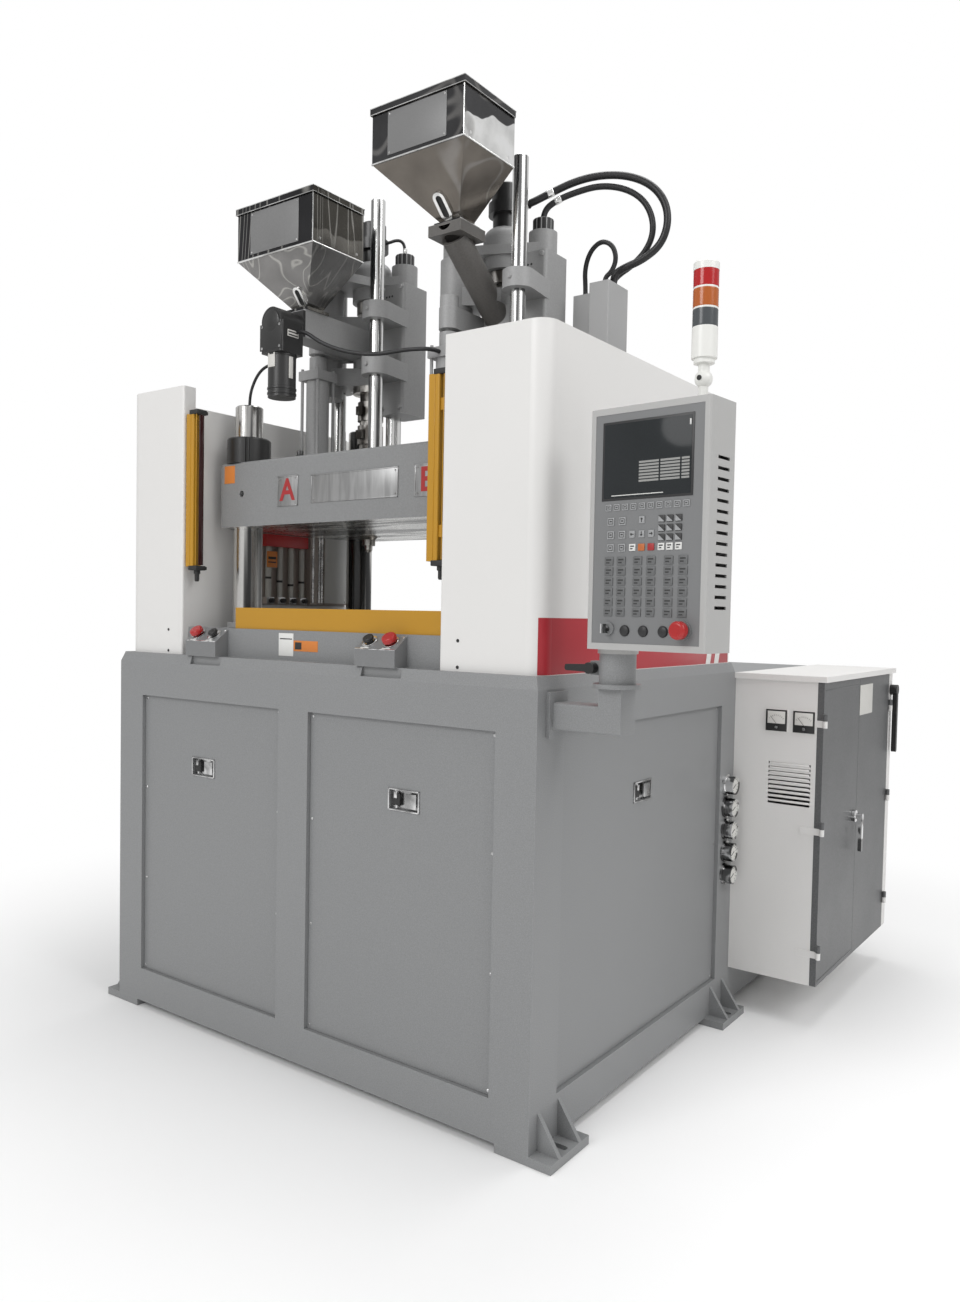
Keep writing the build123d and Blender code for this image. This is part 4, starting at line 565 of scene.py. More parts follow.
def sign_plate(x0, x1, z0, z1):
    """A thin plate with a raised rim and a pin in each corner, on the platen's front."""
    y = platen_face
    rim, pin_inset = 0.003, 0.009
    shapes = [rounded_block((x0, y - 0.0016, z0), (x1, y, z1), 0.0004)]
    for a, b, c, d in ((x0, x1, z1 - rim, z1), (x0, x1, z0, z0 + rim), (x0, x0 + rim, z0, z1),
                       (x1 - rim, x1, z0, z1)):
        shapes.append(rounded_block((a, y - 0.0026, c), (b, y, d), 0.0006))
    return shapes + screw_heads((x0 + pin_inset, x1 - pin_inset), (y - 0.0014,),
                                (z0 + pin_inset, z1 - pin_inset), to_front, 0.0028)


def flat_letter(name, letter, x, z):
    """A flat red letter on the front of a platen plate."""
    letter_height = 0.065
    text = bpy.data.curves.new(name, "FONT")
    text.body = letter
    text.size = letter_height * 1.38
    text.align_x = "CENTER"
    text.align_y = "CENTER"
    text.extrude = 0.0002
    text.offset = 0.0020
    text.materials.append(sign_red)
    piece = bpy.data.objects.new(name, text)
    piece.location = (x, platen_face - 0.002, z)
    piece.rotation_euler = (math.pi / 2, 0, 0)
    bpy.context.scene.collection.objects.link(piece)
    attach(piece, "clamp")


for plate, edges in (("plate_station_a", (-0.218, -0.132, 1.586, 1.675)),
                     ("plate_station_b", (0.313, 0.400, 1.586, 1.672)),
                     ("plate_long", (-0.077, 0.254, 1.590, 1.671))):
    build(plate, sign_plate(*edges), (plate_metal,), "clamp")
flat_letter("letter_a", "A", -0.176, 1.631)
flat_letter("letter_b", "B", 0.356, 1.628)
orange_card = painted("orange_card", (0.62, 0.20, 0.035), 0.5, grain=0.1, cloud=0.3, edge_highlight=0.0, relief=0.0)
platen_card = rounded_block((-0.460, platen_face - 0.0008, 1.668), (-0.412, platen_face, 1.722), 0.0003)
build("platen_card", [platen_card], (orange_card,), "clamp")
eye_bolt = turned(((0, 0.018), (0.009, 0.018), (0.010, 0.016), (0.010, 0.004), (0.013, 0.003), (0.013, 0.0)),
                  (-0.150, -0.432, 1.731), up, 0, 20)
build("platen_bolt", [eye_bolt], (black_paint,), "clamp")

# Apron and covers: bare white and orange cards on the apron, a red band along the right
# cover with two slanted white stripes, and two screws low on each cover.
apron_face = -0.541
cover_front, cover_side, cover_corner = -0.565, 0.790, 0.045
band_low, band_high = 1.1385, 1.272
stripe_width, stripe_slant = 0.034, 0.28
white_card = painted("white_card", (0.72, 0.72, 0.70), 0.5, grain=0.05, cloud=0.1, edge_highlight=0.0, relief=0.0)


def apron_card(x0, x1, z0, z1, finish):
    """A thin card on the apron's front."""
    return rounded_block((x0, apron_face - 0.0008, z0), (x1, apron_face, z1), 0.0003, finish)


def dark_bar(x0, x1, z0, z1):
    """A dark bar printed on a card."""
    return rounded_block((x0, apron_face - 0.0011, z0), (x1, apron_face - 0.0007, z1), 0.0001, 2)


build("apron_cards", [apron_card(-0.113, -0.053, 1.149, 1.2135, 0), dark_bar(-0.108, -0.058, 1.196, 1.199),
                      apron_card(-0.052, 0.044, 1.164, 1.194, 1), dark_bar(-0.046, -0.020, 1.169, 1.189)],
      (white_card, orange_card, black_and_painted_shade), "base")
band_red = painted("band_red", (0.385, 0.020, 0.030), 0.35, grain=0.03, cloud=0.04, edge_highlight=0.0, relief=0.01)
band = [rounded_block((cover_side, cover_front + cover_corner, band_low),
                      (cover_side + 0.0008, 0.546, band_high), 0.0003, 0)]
corner_band = bmesh.new()
rows = []
for step in range(13):
    turn = math.radians(50) * step / 12
    reach = cover_corner + 0.0006
    x = cover_side - cover_corner + reach * math.cos(turn)
    y = cover_front + cover_corner - reach * math.sin(turn)
    rows.append([corner_band.verts.new((x, y, z)) for z in (band_low, band_high)])
for (a, b), (c, d) in zip(rows, rows[1:]):
    corner_band.faces.new((a, b, d, c))
band.append(corner_band)
for start in (0.372, 0.436):
    stripe = rounded_block((cover_side + 0.0007, start, band_low),
                           (cover_side + 0.0013, start + stripe_width, band_high), 0.0001, 1)
    for corner in stripe.verts:
        corner.co.y += (corner.co.z - band_low) * stripe_slant
    band.append(stripe)
build("cover_band", band, (band_red, white_card), "base")
cover_screws = screw_heads((0.549, -0.588), (cover_front,), (1.147, 1.212), to_front, 0.0045)
build("cover_screws", cover_screws, (black_and_painted_shade,), "base")

# Light curtains: extruded yellow profiles with a dark lens strip facing across the mould
# space, black end caps with mounting lugs, and a grey connector under the right one.
curtain_width = 0.036
curtain_front, curtain_back = -0.5585, -0.5225
curtain_low, curtain_high, end_cap = 1.396, 1.884, 0.014
profile_low, profile_high = curtain_low + end_cap, curtain_high - end_cap
curtains = []
for x0, inward in ((-0.502, 1), (0.454, -1)):
    x1 = x0 + curtain_width
    lens_x = x1 if inward > 0 else x0
    for z0, z1 in ((curtain_low, profile_low), (profile_high, curtain_high)):
        curtains += [rounded_block((x0 - 0.0015, curtain_front, z0), (x1 + 0.0015, curtain_back, z1),
                                   0.002, 1),
                     rounded_block((x0 + 0.006, curtain_back, z0 + 0.002),
                                   (x1 - 0.006, curtain_back + 0.0105, z1 - 0.002), 0.001, 1)]
    curtains.append(rounded_block((lens_x - 0.0012, -0.549, profile_low + 0.002),
                                  (lens_x + 0.0012, -0.532, profile_high - 0.002), 0.0006, 2))
    for edge_x in (x0 + 0.0035, x1 - 0.0035):
        curtains.append(rounded_block((edge_x - 0.0012, curtain_front + 0.0003, profile_low + 0.001),
                                      (edge_x + 0.0012, curtain_front + 0.0020, profile_high - 0.001),
                                      0.0005, 0))
    curtains.append(turned(((0, -0.034), (0.005, -0.034), (0.007, -0.030), (0.007, -0.012), (0.010, -0.010),
                            (0.010, 0)), ((x0 + x1) / 2, -0.540, curtain_low), up, 1, 16))
curtain_glass = painted("curtain_glass", (0.035, 0.01, 0.01), 0.12, grain=0.0, edge_highlight=0.0, relief=0.0)
build("curtain_trim", curtains, (yellow_paint, black_and_painted_shade, curtain_glass), "base")

# Button boxes: a dark engraved top plate with a bright folded front lip, chrome collars,
# a small white tag before each button, and two fixing screws.
box_run, box_rise = 0.049, 0.037
box_slope = math.atan2(box_rise, box_run)
box_middle_y, box_lip_height = -0.5655, 1.181
button_spacing, fixing_spacing = 0.037, 0.062
collar_profile = ((0.0208, 0.0), (0.0218, 0.0), (0.0218, 0.0040), (0.0205, 0.0046), (0.0165, 0.0048),
                  (0.0125, 0.0046), (0.0115, 0.0041), (0.0115, 0.0038))
box_chrome = steel("box_chrome", (0.92, 0.92, 0.92), (0.45, 0.45, 0.45), stretch=(40.0, 40.0, 40.0),
                   roughness=0.1)
for side_name, middle_x in (("left", -0.402), ("right", 0.298)):
    top_place = (Matrix.Translation((middle_x, box_middle_y, box_lip_height + box_rise / 2))
                 @ Matrix.Rotation(box_slope, 4, "X"))
    trim = [rounded_block((-0.069, -0.0305, 0.0), (0.069, -0.0270, 0.0016), 0.0005, 1)]
    for x in (-button_spacing, button_spacing):
        trim.append(turned(collar_profile, (x, 0, 0), up, 1, 36))
        trim.append(rounded_block((x - 0.016, -0.0268, 0.0), (x + 0.012, -0.0218, 0.0008), 0.0002, 2))
    trim += screw_heads((-fixing_spacing, fixing_spacing), (0.024,), (0.0,), up, 0.0032, 1)
    build(f"button_trim_{side_name}", trim, (box_paint, box_chrome, white_card), "base",
          top_place)

# Panel face: a dark glass screen in a black bezel, raised keys in rows on a grey foil,
# three black caps, and the collars of the key switch and the emergency stop.
panel_turn = math.radians(-5)
panel_place = Matrix.Translation((0.957, -0.505, 0)) @ Matrix.Rotation(panel_turn, 4, "Z")
face_y = -0.0731
screen_low = (0.002, 1.533)
screen_high = (0.214, 1.692)
screen_glass = painted("screen_glass", (0.030, 0.033, 0.035), 0.12, grain=0.5, grain_scale=700.0, cloud=0.5,
                       edge_highlight=0.0, relief=0.0)
screen_glass.node_tree.nodes["Principled BSDF"].inputs["Specular IOR Level"].default_value = 0.12
bezel_black = painted("bezel_black", (0.020, 0.020, 0.021), 0.45, grain=0.1, edge_highlight=0.2, relief=0.0)
key_grey = painted("key_grey", (0.125, 0.128, 0.130), 0.5, grain=0.5, grain_scale=900.0, edge_highlight=0.3,
                   relief=0.05)
key_light = painted("key_light", (0.31, 0.315, 0.32), 0.5, grain=0.3, grain_scale=900.0, edge_highlight=0.3,
                    relief=0.05)
key_mark = painted("key_mark", (0.030, 0.030, 0.030), 0.5, grain=0.0, edge_highlight=0.0, relief=0.0)
shutter_light = painted("shutter_light", (0.30, 0.30, 0.29), 0.35, grain=0.2, edge_highlight=0.0, relief=0.0)
bright_line = painted("bright_line", (0.70, 0.70, 0.68), 0.4, grain=0.0, edge_highlight=0.0, relief=0.0)
key_orange = painted("key_orange", (0.48, 0.13, 0.03), 0.45, grain=0.1, edge_highlight=0.2, relief=0.02)
panel_finishes = (screen_glass, bezel_black, key_grey, key_light, key_mark, shutter_light, bright_line,
                  key_orange, sign_red)
panel = [rounded_block((screen_low[0] - 0.005, face_y - 0.0012, screen_low[1] - 0.005),
                       (screen_high[0] + 0.005, face_y, screen_high[1] + 0.005), 0.0012, 1),
         rounded_block((screen_low[0], face_y - 0.0018, screen_low[1]),
                       (screen_high[0], face_y - 0.0010, screen_high[1]), 0.0003, 0)]
# a pale block of lines low on the right of the screen and a bright line along its foot
line_foot, line_pitch, line_height = 1.5640, 0.0066, 0.0042


def screen_mark(x0, x1, z0, z1, finish):
    """A shown line on the screen."""
    return rounded_block((x0, face_y - 0.00195, z0), (x1, face_y - 0.0017, z1), 0.0, finish)


for x0, x1 in ((0.090, 0.138), (0.142, 0.188), (0.192, 0.210)):
    for line in range(7):
        z = line_foot + line * line_pitch
        panel.append(screen_mark(x0, x1, z, z + line_height, 5))
panel.append(screen_mark(0.022, 0.150, 1.5375, 1.5392, 6))
panel.append(screen_mark(0.2085, 0.2120, 1.672, 1.684, 6))


def key(x, z, width, height, finish, mark=()):
    """A raised key with rounded edges and, where wanted, small printed bars."""
    shapes = [rounded_block((x - width / 2, face_y - 0.0022, z - height / 2),
                            (x + width / 2, face_y + 0.0002, z + height / 2), 0.0012, finish)]
    for a, b, c, d in mark:
        shapes.append(rounded_block((x + a * width, face_y - 0.0025, z + c * height),
                                    (x + b * width, face_y - 0.0021, z + d * height), 0.0, 4))
    return shapes


two_bars = ((-0.3, 0.3, 0.08, 0.26), (-0.3, 0.1, -0.26, -0.1))
frame_mark = ((-0.36, 0.36, 0.26, 0.34), (-0.36, 0.36, -0.34, -0.26), (-0.36, -0.28, -0.34, 0.34),
              (0.28, 0.36, -0.34, 0.34), (-0.16, 0.16, -0.06, 0.10))
stem_up = ((-0.07, 0.07, -0.34, 0.2), (-0.2, 0.2, 0.04, 0.16), (-0.12, 0.12, 0.16, 0.28))
stem_down = ((-0.07, 0.07, -0.2, 0.34), (-0.2, 0.2, -0.16, -0.04), (-0.12, 0.12, -0.28, -0.16))
stem_left = ((-0.2, 0.34, -0.07, 0.07), (-0.16, -0.04, -0.2, 0.2), (-0.28, -0.16, -0.12, 0.12))
stem_right = ((-0.34, 0.2, -0.07, 0.07), (0.04, 0.16, -0.2, 0.2), (0.16, 0.28, -0.12, 0.12))
for column in range(10):
    panel += key(0.0153 + column * 0.0211, 1.513, 0.015, 0.014, 3, frame_mark)
for z in (1.483, 1.454, 1.426):
    for x in (0.0225, 0.0513):
        panel += key(x, z, 0.017, 0.017, 3, frame_mark)
for x, z, mark in ((0.1000, 1.484, stem_up), (0.0766, 1.454, stem_left), (0.1000, 1.454, stem_down),
                   (0.1234, 1.454, stem_right)):
    panel += key(x, z, 0.0135, 0.015, 3, mark)
number_width, number_height = 0.0160, 0.0145
for z in (1.4840, 1.4645, 1.4450):
    for x in (0.1480, 0.1675, 0.1880):
        panel += key(x, z, number_width, number_height, 4)
        wedge = rounded_block((x - 0.0070, face_y - 0.0026, z - 0.0062),
                              (x + 0.0070, face_y - 0.0021, z + 0.0062), 0.0, 3)
        for corner in wedge.verts:
            if corner.co.z > z and corner.co.x > x:
                corner.co.z = z - 0.0060
        panel.append(wedge)
for x, finish in ((0.0780, 6), (0.1000, 7), (0.1234, 8), (0.1480, 6), (0.1680, 6), (0.1890, 6)):
    panel += key(x, 1.426, 0.0160, 0.0150, finish, two_bars if finish == 6 else ())
for x in (0.0193, 0.0505, 0.0914, 0.1242, 0.1663, 0.2004):
    for row in range(6):
        panel += key(x, 1.3976 - row * 0.0220, 0.0220, 0.0180, 2, two_bars)
cap_profile = ((0, 0.0052), (0.0085, 0.0050), (0.0108, 0.0036), (0.0112, 0.0012), (0.0122, 0.0012),
               (0.0122, 0.0))
for x in (0.0630, 0.1090, 0.1570):
    panel.append(turned(cap_profile, (x, face_y, 1.248), to_front, 1, 32))
build("panel_keys", panel, panel_finishes, "hmi", panel_place)

# Hoppers: folded and welded stainless sheet, mirror bright. Its tones are painted
# reflections: the dark hall on the front, a pale wall with wiry curves on the sides and the
# floor underneath, so the painted tone goes by the side that a face is on.


def mirror_sheet_group():
    """Mirror sheet: a painted reflection tone for each side, a dark painted reflection high on the sides,
    haze and curved reflected lines.
    """
    group, given, result = named_group(
        "mirror_sheet",
        (("Front", "Color", (0.1, 0.1, 0.1, 1)), ("Side", "Color", (0.9, 0.9, 0.9, 1)),
         ("Upper", "Color", (0.1, 0.1, 0.1, 1)), ("Under", "Color", (0.25, 0.22, 0.2, 1)),
         ("Line", "Color", (0.3, 0.3, 0.3, 1)), ("Split", "Float", 2.5), ("Slope", "Float", 0.2),
         ("Curve Stretch", "Vector", (1, 1, 1)), ("Curve Share", "Float", 0.6)),
        (("Colour", "Color"), ("Roughness", "Float")))
    where = wired(group, "TexCoord", {}).outputs
    facing = wired(group, "SeparateXYZ", {"Vector": where["Normal"]}).outputs
    spot = wired(group, "SeparateXYZ", {"Vector": where["Object"]}).outputs
    # the painted reflection's lower edge slopes to the back and waves a little
    waves = noise(group, where["Object"], {"Scale": 14.0, "Detail": 1.0})
    height = maths(group, "MULTIPLY_ADD", waves, 0.05, spot["Z"])
    edge_height = maths(group, "MULTIPLY_ADD", spot["Y"], given["Slope"], given["Split"])
    over_edge = soft_step(group, maths(group, "SUBTRACT", height, edge_height), -0.002, 0.002)
    # each side's tone is a painted reflection
    beside = mixed_colour(group, over_edge, given["Side"], given["Upper"])
    sideways = soft_step(group, maths(group, "ABSOLUTE", facing["X"]), 0.55, 0.8)
    colour = mixed_colour(group, sideways, given["Front"], beside)
    colour = mixed_colour(group, soft_step(group, facing["Z"], -0.15, -0.45), colour, given["Under"])
    colour = mixed_colour(group, soft_step(group, facing["Z"], 0.5, 0.9), colour, given["Side"])
    # curved painted reflected lines: folds of a slow, stretched noise
    stretched = vectors(group, "MULTIPLY", {0: where["Object"], 1: given["Curve Stretch"]})
    swirl = noise(group, stretched, {"Scale": 3.2, "Detail": 0.5, "Distortion": 0.9})
    fold = maths(group, "PINGPONG", maths(group, "MULTIPLY", swirl, 9.0), 0.5)
    reflected_line_share = maths(group, "MULTIPLY", soft_step(group, fold, 0.13, 0.02), given["Curve Share"])
    colour = mixed_colour(group, reflected_line_share, colour, given["Line"])
    haze = noise(group, where["Object"], {"Scale": 11.0, "Detail": 4.0})
    cloudy = vectors(group, "SCALE", {0: colour, "Scale": maths(group, "MULTIPLY_ADD", haze, 0.9, 0.55)})
    group.links.new(cloudy, result["Colour"])
    group.links.new(maths(group, "MULTIPLY_ADD", haze, 0.16, 0.12), result["Roughness"])
    return group


mirror_sheet = mirror_sheet_group()


def sheet_metal(name, tones, stretch, curve_share, split, slope):
    """Mirror sheet in a shader, with its painted reflection tones by name."""
    material, shader = new_material(name)
    sheet = group_node(material, mirror_sheet, {**tones, "Curve Share": curve_share, "Split": split,
                                                "Slope": slope})
    sheet.inputs["Curve Stretch"].default_value = stretch
    shader.inputs["Metallic"].default_value = 0.85
    material.node_tree.links.new(sheet.outputs["Colour"], shader.inputs["Base Color"])
    material.node_tree.links.new(sheet.outputs["Roughness"], shader.inputs["Roughness"])
    return material


# the tones are painted reflections of the hall, the walls and the floor
sheet_a = sheet_metal("sheet_a", {"Front": (0.034, 0.034, 0.036), "Side": (0.23, 0.22, 0.20),
                                  "Upper": (0.085, 0.08, 0.07), "Under": (0.23, 0.225, 0.22),
                                  "Line": (0.52, 0.51, 0.48)}, (1.6, 3.4, 0.25), 0.6, 2.460, 0.10)
sheet_b = sheet_metal("sheet_b", {"Front": (0.060, 0.060, 0.062), "Side": (0.95, 0.95, 0.94),
                                  "Upper": (0.075, 0.075, 0.077), "Under": (0.165, 0.148, 0.130),
                                  "Line": (0.30, 0.29, 0.28)}, (1.2, 1.2, 1.0), 0.45, 2.705, 0.26)
coat(("hopper_a", "hopper_lid_a"), sheet_a)
coat(("hopper_b", "hopper_lid_b"), sheet_b)
bright_fold = steel("bright_fold", (0.95, 0.95, 0.94), (0.60, 0.60, 0.59), stretch=(12.0, 12.0, 12.0),
                    roughness=0.18)
bare_plate = painted("bare_plate", (0.178, 0.178, 0.178), 0.4, grain=0.25, grain_scale=260.0, cloud=0.25,
                     edge_highlight=0.1, relief=0.05)


def obround(width, length, depth, level, finish, hole=None):
    """A block with round ends along local Y, or a ring of it round a smaller one."""
    shape = bmesh.new()
    end_steps, taper_x, taper_y = 24, 0.96, 0.98

    def outline(w, l):
        spots = []
        for step in range(end_steps + 1):
            angle = math.pi * step / end_steps
            spots.append((w / 2 * math.cos(angle), (l - w) / 2 + w / 2 * math.sin(angle)))
        return spots + [(-x, -y) for x, y in spots]

    outer = outline(width, length)
    low_ring = [shape.verts.new((x, y, level)) for x, y in outer]
    high_ring = [shape.verts.new((x * taper_x, y * taper_y, level + depth)) for x, y in outer]
    count = len(outer)
    for spot in range(count):
        after = (spot + 1) % count
        shape.faces.new((low_ring[spot], low_ring[after], high_ring[after], high_ring[spot]))
    if hole is None:
        shape.faces.new(high_ring)
    else:
        inner = outline(*hole)
        rim = [shape.verts.new((x, y, level + depth)) for x, y in inner]
        sunk = [shape.verts.new((x, y, level)) for x, y in inner]
        for spot in range(count):
            after = (spot + 1) % count
            shape.faces.new((high_ring[spot], high_ring[after], rim[after], rim[spot]))
            shape.faces.new((rim[spot], rim[after], sunk[after], sunk[spot]))
    bmesh.ops.recalc_face_normals(shape, faces=shape.faces)
    for face in shape.faces:
        face.material_index = finish
    return shape


def hopper_trim(unit, middle_x, front_y, back_y, low_z, high_z, half_width, window):
    """Bare plate, bright beads along the folds, the corner seam and the lid edges as their painted
    highlights, and the slanted sight window.
    """
    x0, x1 = middle_x - half_width, middle_x + half_width
    fold = 0.0030
    shapes = [rounded_block((middle_x - 0.64 * half_width, front_y - 0.0015, low_z + 0.012),
                            (middle_x + 0.64 * half_width, front_y, high_z - 0.020), 0.0004, 1)]
    shapes += screw_heads((middle_x - 0.6 * half_width, middle_x + 0.6 * half_width), (front_y - 0.0012,),
                          (low_z + 0.018, high_z - 0.026), to_front, 0.0025)
    # the bright beads along the folds and the corner seam are painted highlights of the bent sheet
    seam_x, seam_y = x1 - 0.0005, front_y + 0.0005
    shapes += [tube([(x0, front_y, low_z), (x1, front_y, low_z)], fold, 0),
               tube([(x1, front_y, low_z), (x1, back_y, low_z)], fold * 0.7, 0),
               tube([(seam_x, seam_y, low_z), (seam_x, seam_y, high_z - 0.016)], fold * 0.6, 0)]
    # the bright lines round the lid are painted highlights of its edges
    lid_x, lid_y = x1 + 0.005, front_y - 0.005
    for z in (high_z - 0.0150, high_z + 0.0020):
        lid_edge = [(x0 - 0.005, lid_y, z), (lid_x, lid_y, z), (lid_x, back_y - 0.004, z)]
        shapes.append(tube(lid_edge, 0.0012, 0, 8))
    for y in (front_y + 0.028, back_y - 0.030):
        rivet = ((0.0045, 0), (0.0045, 0.0014), (0, 0.0018))
        shapes.append(turned(rivet, (x1, y, low_z + 0.016), to_right, 0, 14))
    build(f"hopper_trim_{unit}", shapes, (bright_fold, bare_plate), f"carriage_{unit}")
    top_y, top_z, foot_y, foot_z, window_x, length, width = window
    down = Vector((0, foot_y - top_y, foot_z - top_z)).normalized()
    right = Vector(to_right)
    out = right.cross(down)
    out = out if out.z < 0 else -out
    middle = Vector((window_x, top_y, top_z)) + down * (length / 2) + out * 0.0003
    turn = Matrix((right, -down, right.cross(-down))).transposed().to_4x4()
    place = Matrix.Translation(middle) @ turn
    if (place.to_3x3() @ Vector(up)).dot(out) < 0:
        place = place @ Matrix.Rotation(math.pi, 4, "Y")
    slot = (width * 0.5, length - width * 0.5)
    pane = [obround(width, length, 0.007, 0.0, 0, slot), obround(*slot, 0.0015, 0.0, 1)]
    build(f"sight_window_{unit}", pane, (bright_fold, black_and_painted_shade), f"carriage_{unit}", place)


hopper_trim("a", -0.270, -0.4345, -0.2215, 2.350, 2.507, 0.1635,
            (-0.366, 2.2637, -0.323, 2.2092, -0.247, 0.066, 0.034))
hopper_trim("b", 0.270, -0.422, -0.192, 2.516, 2.664, 0.1595,
            (-0.336, 2.4374, -0.269, 2.3760, 0.273, 0.084, 0.040))

# Moving platen's underside: ground steel, with painted reflections as bright and dark
# streaks along it, while its other faces keep the grey coat.
platen_material, platen_shader = new_material("platen_two_finishes")
platen_tree = platen_material.node_tree
spray = group_node(platen_material, sprayed_paint, {"Colour": (0.235, 0.238, 0.24), "Grain": 0.5,
                                                    "Grain Scale": 420.0, "Cloud": 0.1, "Edge Highlight": 0.12,
                                                    "Roughness": 0.42})
reflection_streaks = group_node(platen_material, bright_steel, {"Light": (0.95, 0.95, 0.93), "Dark": (0.26, 0.26, 0.26),
                                                     "Contrast": 0.9, "Bend": 1.2, "Roughness": 0.22})
reflection_streaks.inputs["Stretch"].default_value = (2.2, 14.0, 2.0)
ground_shader = wired(platen_tree, "BsdfPrincipled", {"Metallic": 1.0})
for finish, shader in ((spray, platen_shader), (reflection_streaks, ground_shader)):
    platen_tree.links.new(finish.outputs["Colour"], shader.inputs["Base Color"])
    platen_tree.links.new(finish.outputs["Roughness"], shader.inputs["Roughness"])
platen_normal = wired(platen_tree, "TexCoord", {}).outputs["Normal"]
platen_facing = wired(platen_tree, "SeparateXYZ", {"Vector": platen_normal}).outputs["Z"]
below = wired(platen_tree, "MapRange", {"Value": platen_facing, "From Min": -0.4, "From Max": -0.8})
platen_mix = wired(platen_tree, "MixShader", {"Fac": below.outputs["Result"],
                                              1: platen_shader.outputs["BSDF"],
                                              2: ground_shader.outputs["BSDF"]})
platen_tree.links.new(platen_mix.outputs["Shader"], platen_tree.nodes["Material Output"].inputs["Surface"])
coat(("moving_platen",), platen_material)

# Flow meters on the left inner cover: a red head rail, an orange tag, four clear tubes with
# their floats, white valve fronts and the two bright posts of the valve block.
meter_x = -0.496
tube_x, tube_foot = -0.507, 1.318
clear_tube = painted("clear_tube", (0.42, 0.41, 0.38), 0.15, grain=0.1, grain_scale=120.0, cloud=0.4,
                     edge_highlight=0.0, relief=0.0)
rail_red = painted("rail_red", (0.46, 0.020, 0.020), 0.35, grain=0.05, edge_highlight=0.1, relief=0.02)
float_profile = ((0, 0), (0.007, 0.002), (0.0102, 0.010), (0.0102, 0.016), (0, 0.020))
knob_profile = ((0, 0.016), (0.007, 0.015), (0.008, 0.010), (0.008, 0), (0.004, 0))
meters = [rounded_block((-0.519, -0.258, 1.491), (meter_x + 0.006, -0.066, 1.5305), 0.002, 0),
          rounded_block((meter_x + 0.004, -0.253, 1.421), (meter_x + 0.0048, -0.207, 1.474), 0.0003, 1)]
for low, high in ((1.436, 1.440), (1.448, 1.456)):
    meters.append(rounded_block((meter_x + 0.0046, -0.247, low), (meter_x + 0.0051, -0.213, high), 0.0001, 3))
for y in (-0.232, -0.182, -0.132, -0.082):
    float_level = 1.352 + 0.22 * abs(y + 0.132)
    meters += [turned(((0.0098, 0), (0.0098, 0.168)), (tube_x, y, tube_foot), up, 2, 20),
               turned(float_profile, (tube_x, y, float_level), up, 3, 20),
               rounded_block((meter_x - 0.004, y - 0.0155, 1.2995), (meter_x + 0.002, y + 0.0155, 1.3225),
                             0.002, 4),
               turned(knob_profile, (meter_x + 0.001, y, 1.311), to_right, 3, 18)]
for y in (-0.040, -0.010, 0.003):
    meters.append(tube([(meter_x + 0.002, y, 1.306), (meter_x + 0.002, y, 1.536)], 0.0045, 4, 14))
meters += screw_heads((-0.504,), (0.035, 0.128), (1.312, 1.537), to_right, 0.004, 4)
meters.append(rounded_block((-0.505, 0.026, 1.306), (-0.5025, 0.136, 1.543), 0.001, 5))
meter_finishes = (rail_red, orange_card, clear_tube, black_and_painted_shade, stainless, white_card)
build("flow_meter_trim", meters, meter_finishes, "base")

# Geared motor of unit A, in satin black: the ribs of its gearbox, the end cover with its
# screws, and two bare white labels with a third, printed one on the side.
motor_x, motor_y = -0.270, -0.3975
label_white = painted("label_white", (0.62, 0.61, 0.58), 0.5, grain=0.2, cloud=0.2, edge_highlight=0.0, relief=0.0)
motor_side = motor_x + 0.0455
cover_low, cover_high = 2.0585, 2.1375


def side_print(reach, lift, low, high, bevel, finish):
    """A label, or a bar printed on it, high on the motor's right side."""
    return rounded_block((motor_side, motor_y - reach, low), (motor_side + lift, motor_y + reach, high),
                         bevel, finish)


motor = [rounded_block((motor_x - 0.016, motor_y - 0.0430, 2.009), (motor_x + 0.014, motor_y - 0.0400, 2.052),
                       0.001, 1),
         rounded_block((motor_x + 0.0395, motor_y - 0.010, 1.977), (motor_x + 0.0430, motor_y + 0.005, 2.042),
                       0.0008, 1)]
for z in (1.931, 1.9455, 2.046):
    rib = ((0.0425, 0), (0.0440, 0.001), (0.0440, 0.006), (0.0425, 0.007))
    motor.append(turned(rib, (motor_x, motor_y, z), up, 0, 40))
motor += [side_print(0.022, 0.0015, 2.100, 2.120, 0.0004, 1),
          side_print(0.019, 0.0019, 2.103, 2.107, 0.0002, 2),
          side_print(0.019, 0.0019, 2.112, 2.116, 0.0002, 2),
          rounded_block((motor_x - 0.047, motor_y - 0.0475, cover_low),
                        (motor_x + 0.047, motor_y - 0.0455, cover_high), 0.002, 0),
          turned(((0, 0.003), (0.016, 0.003), (0.020, 0.0015), (0.030, 0.0015), (0.032, 0.0005), (0.034, 0)),
                 (motor_x, motor_y - 0.0465, 2.144), to_front, 0, 40)]
motor += screw_heads((motor_x - 0.038, motor_x + 0.038), (motor_y - 0.0474,), (2.066, 2.130), to_front,
                     0.004, 3)
motor_finishes = (black_paint, label_white, black_and_painted_shade, stainless)
build("geared_motor_trim", motor, motor_finishes, "carriage_a")

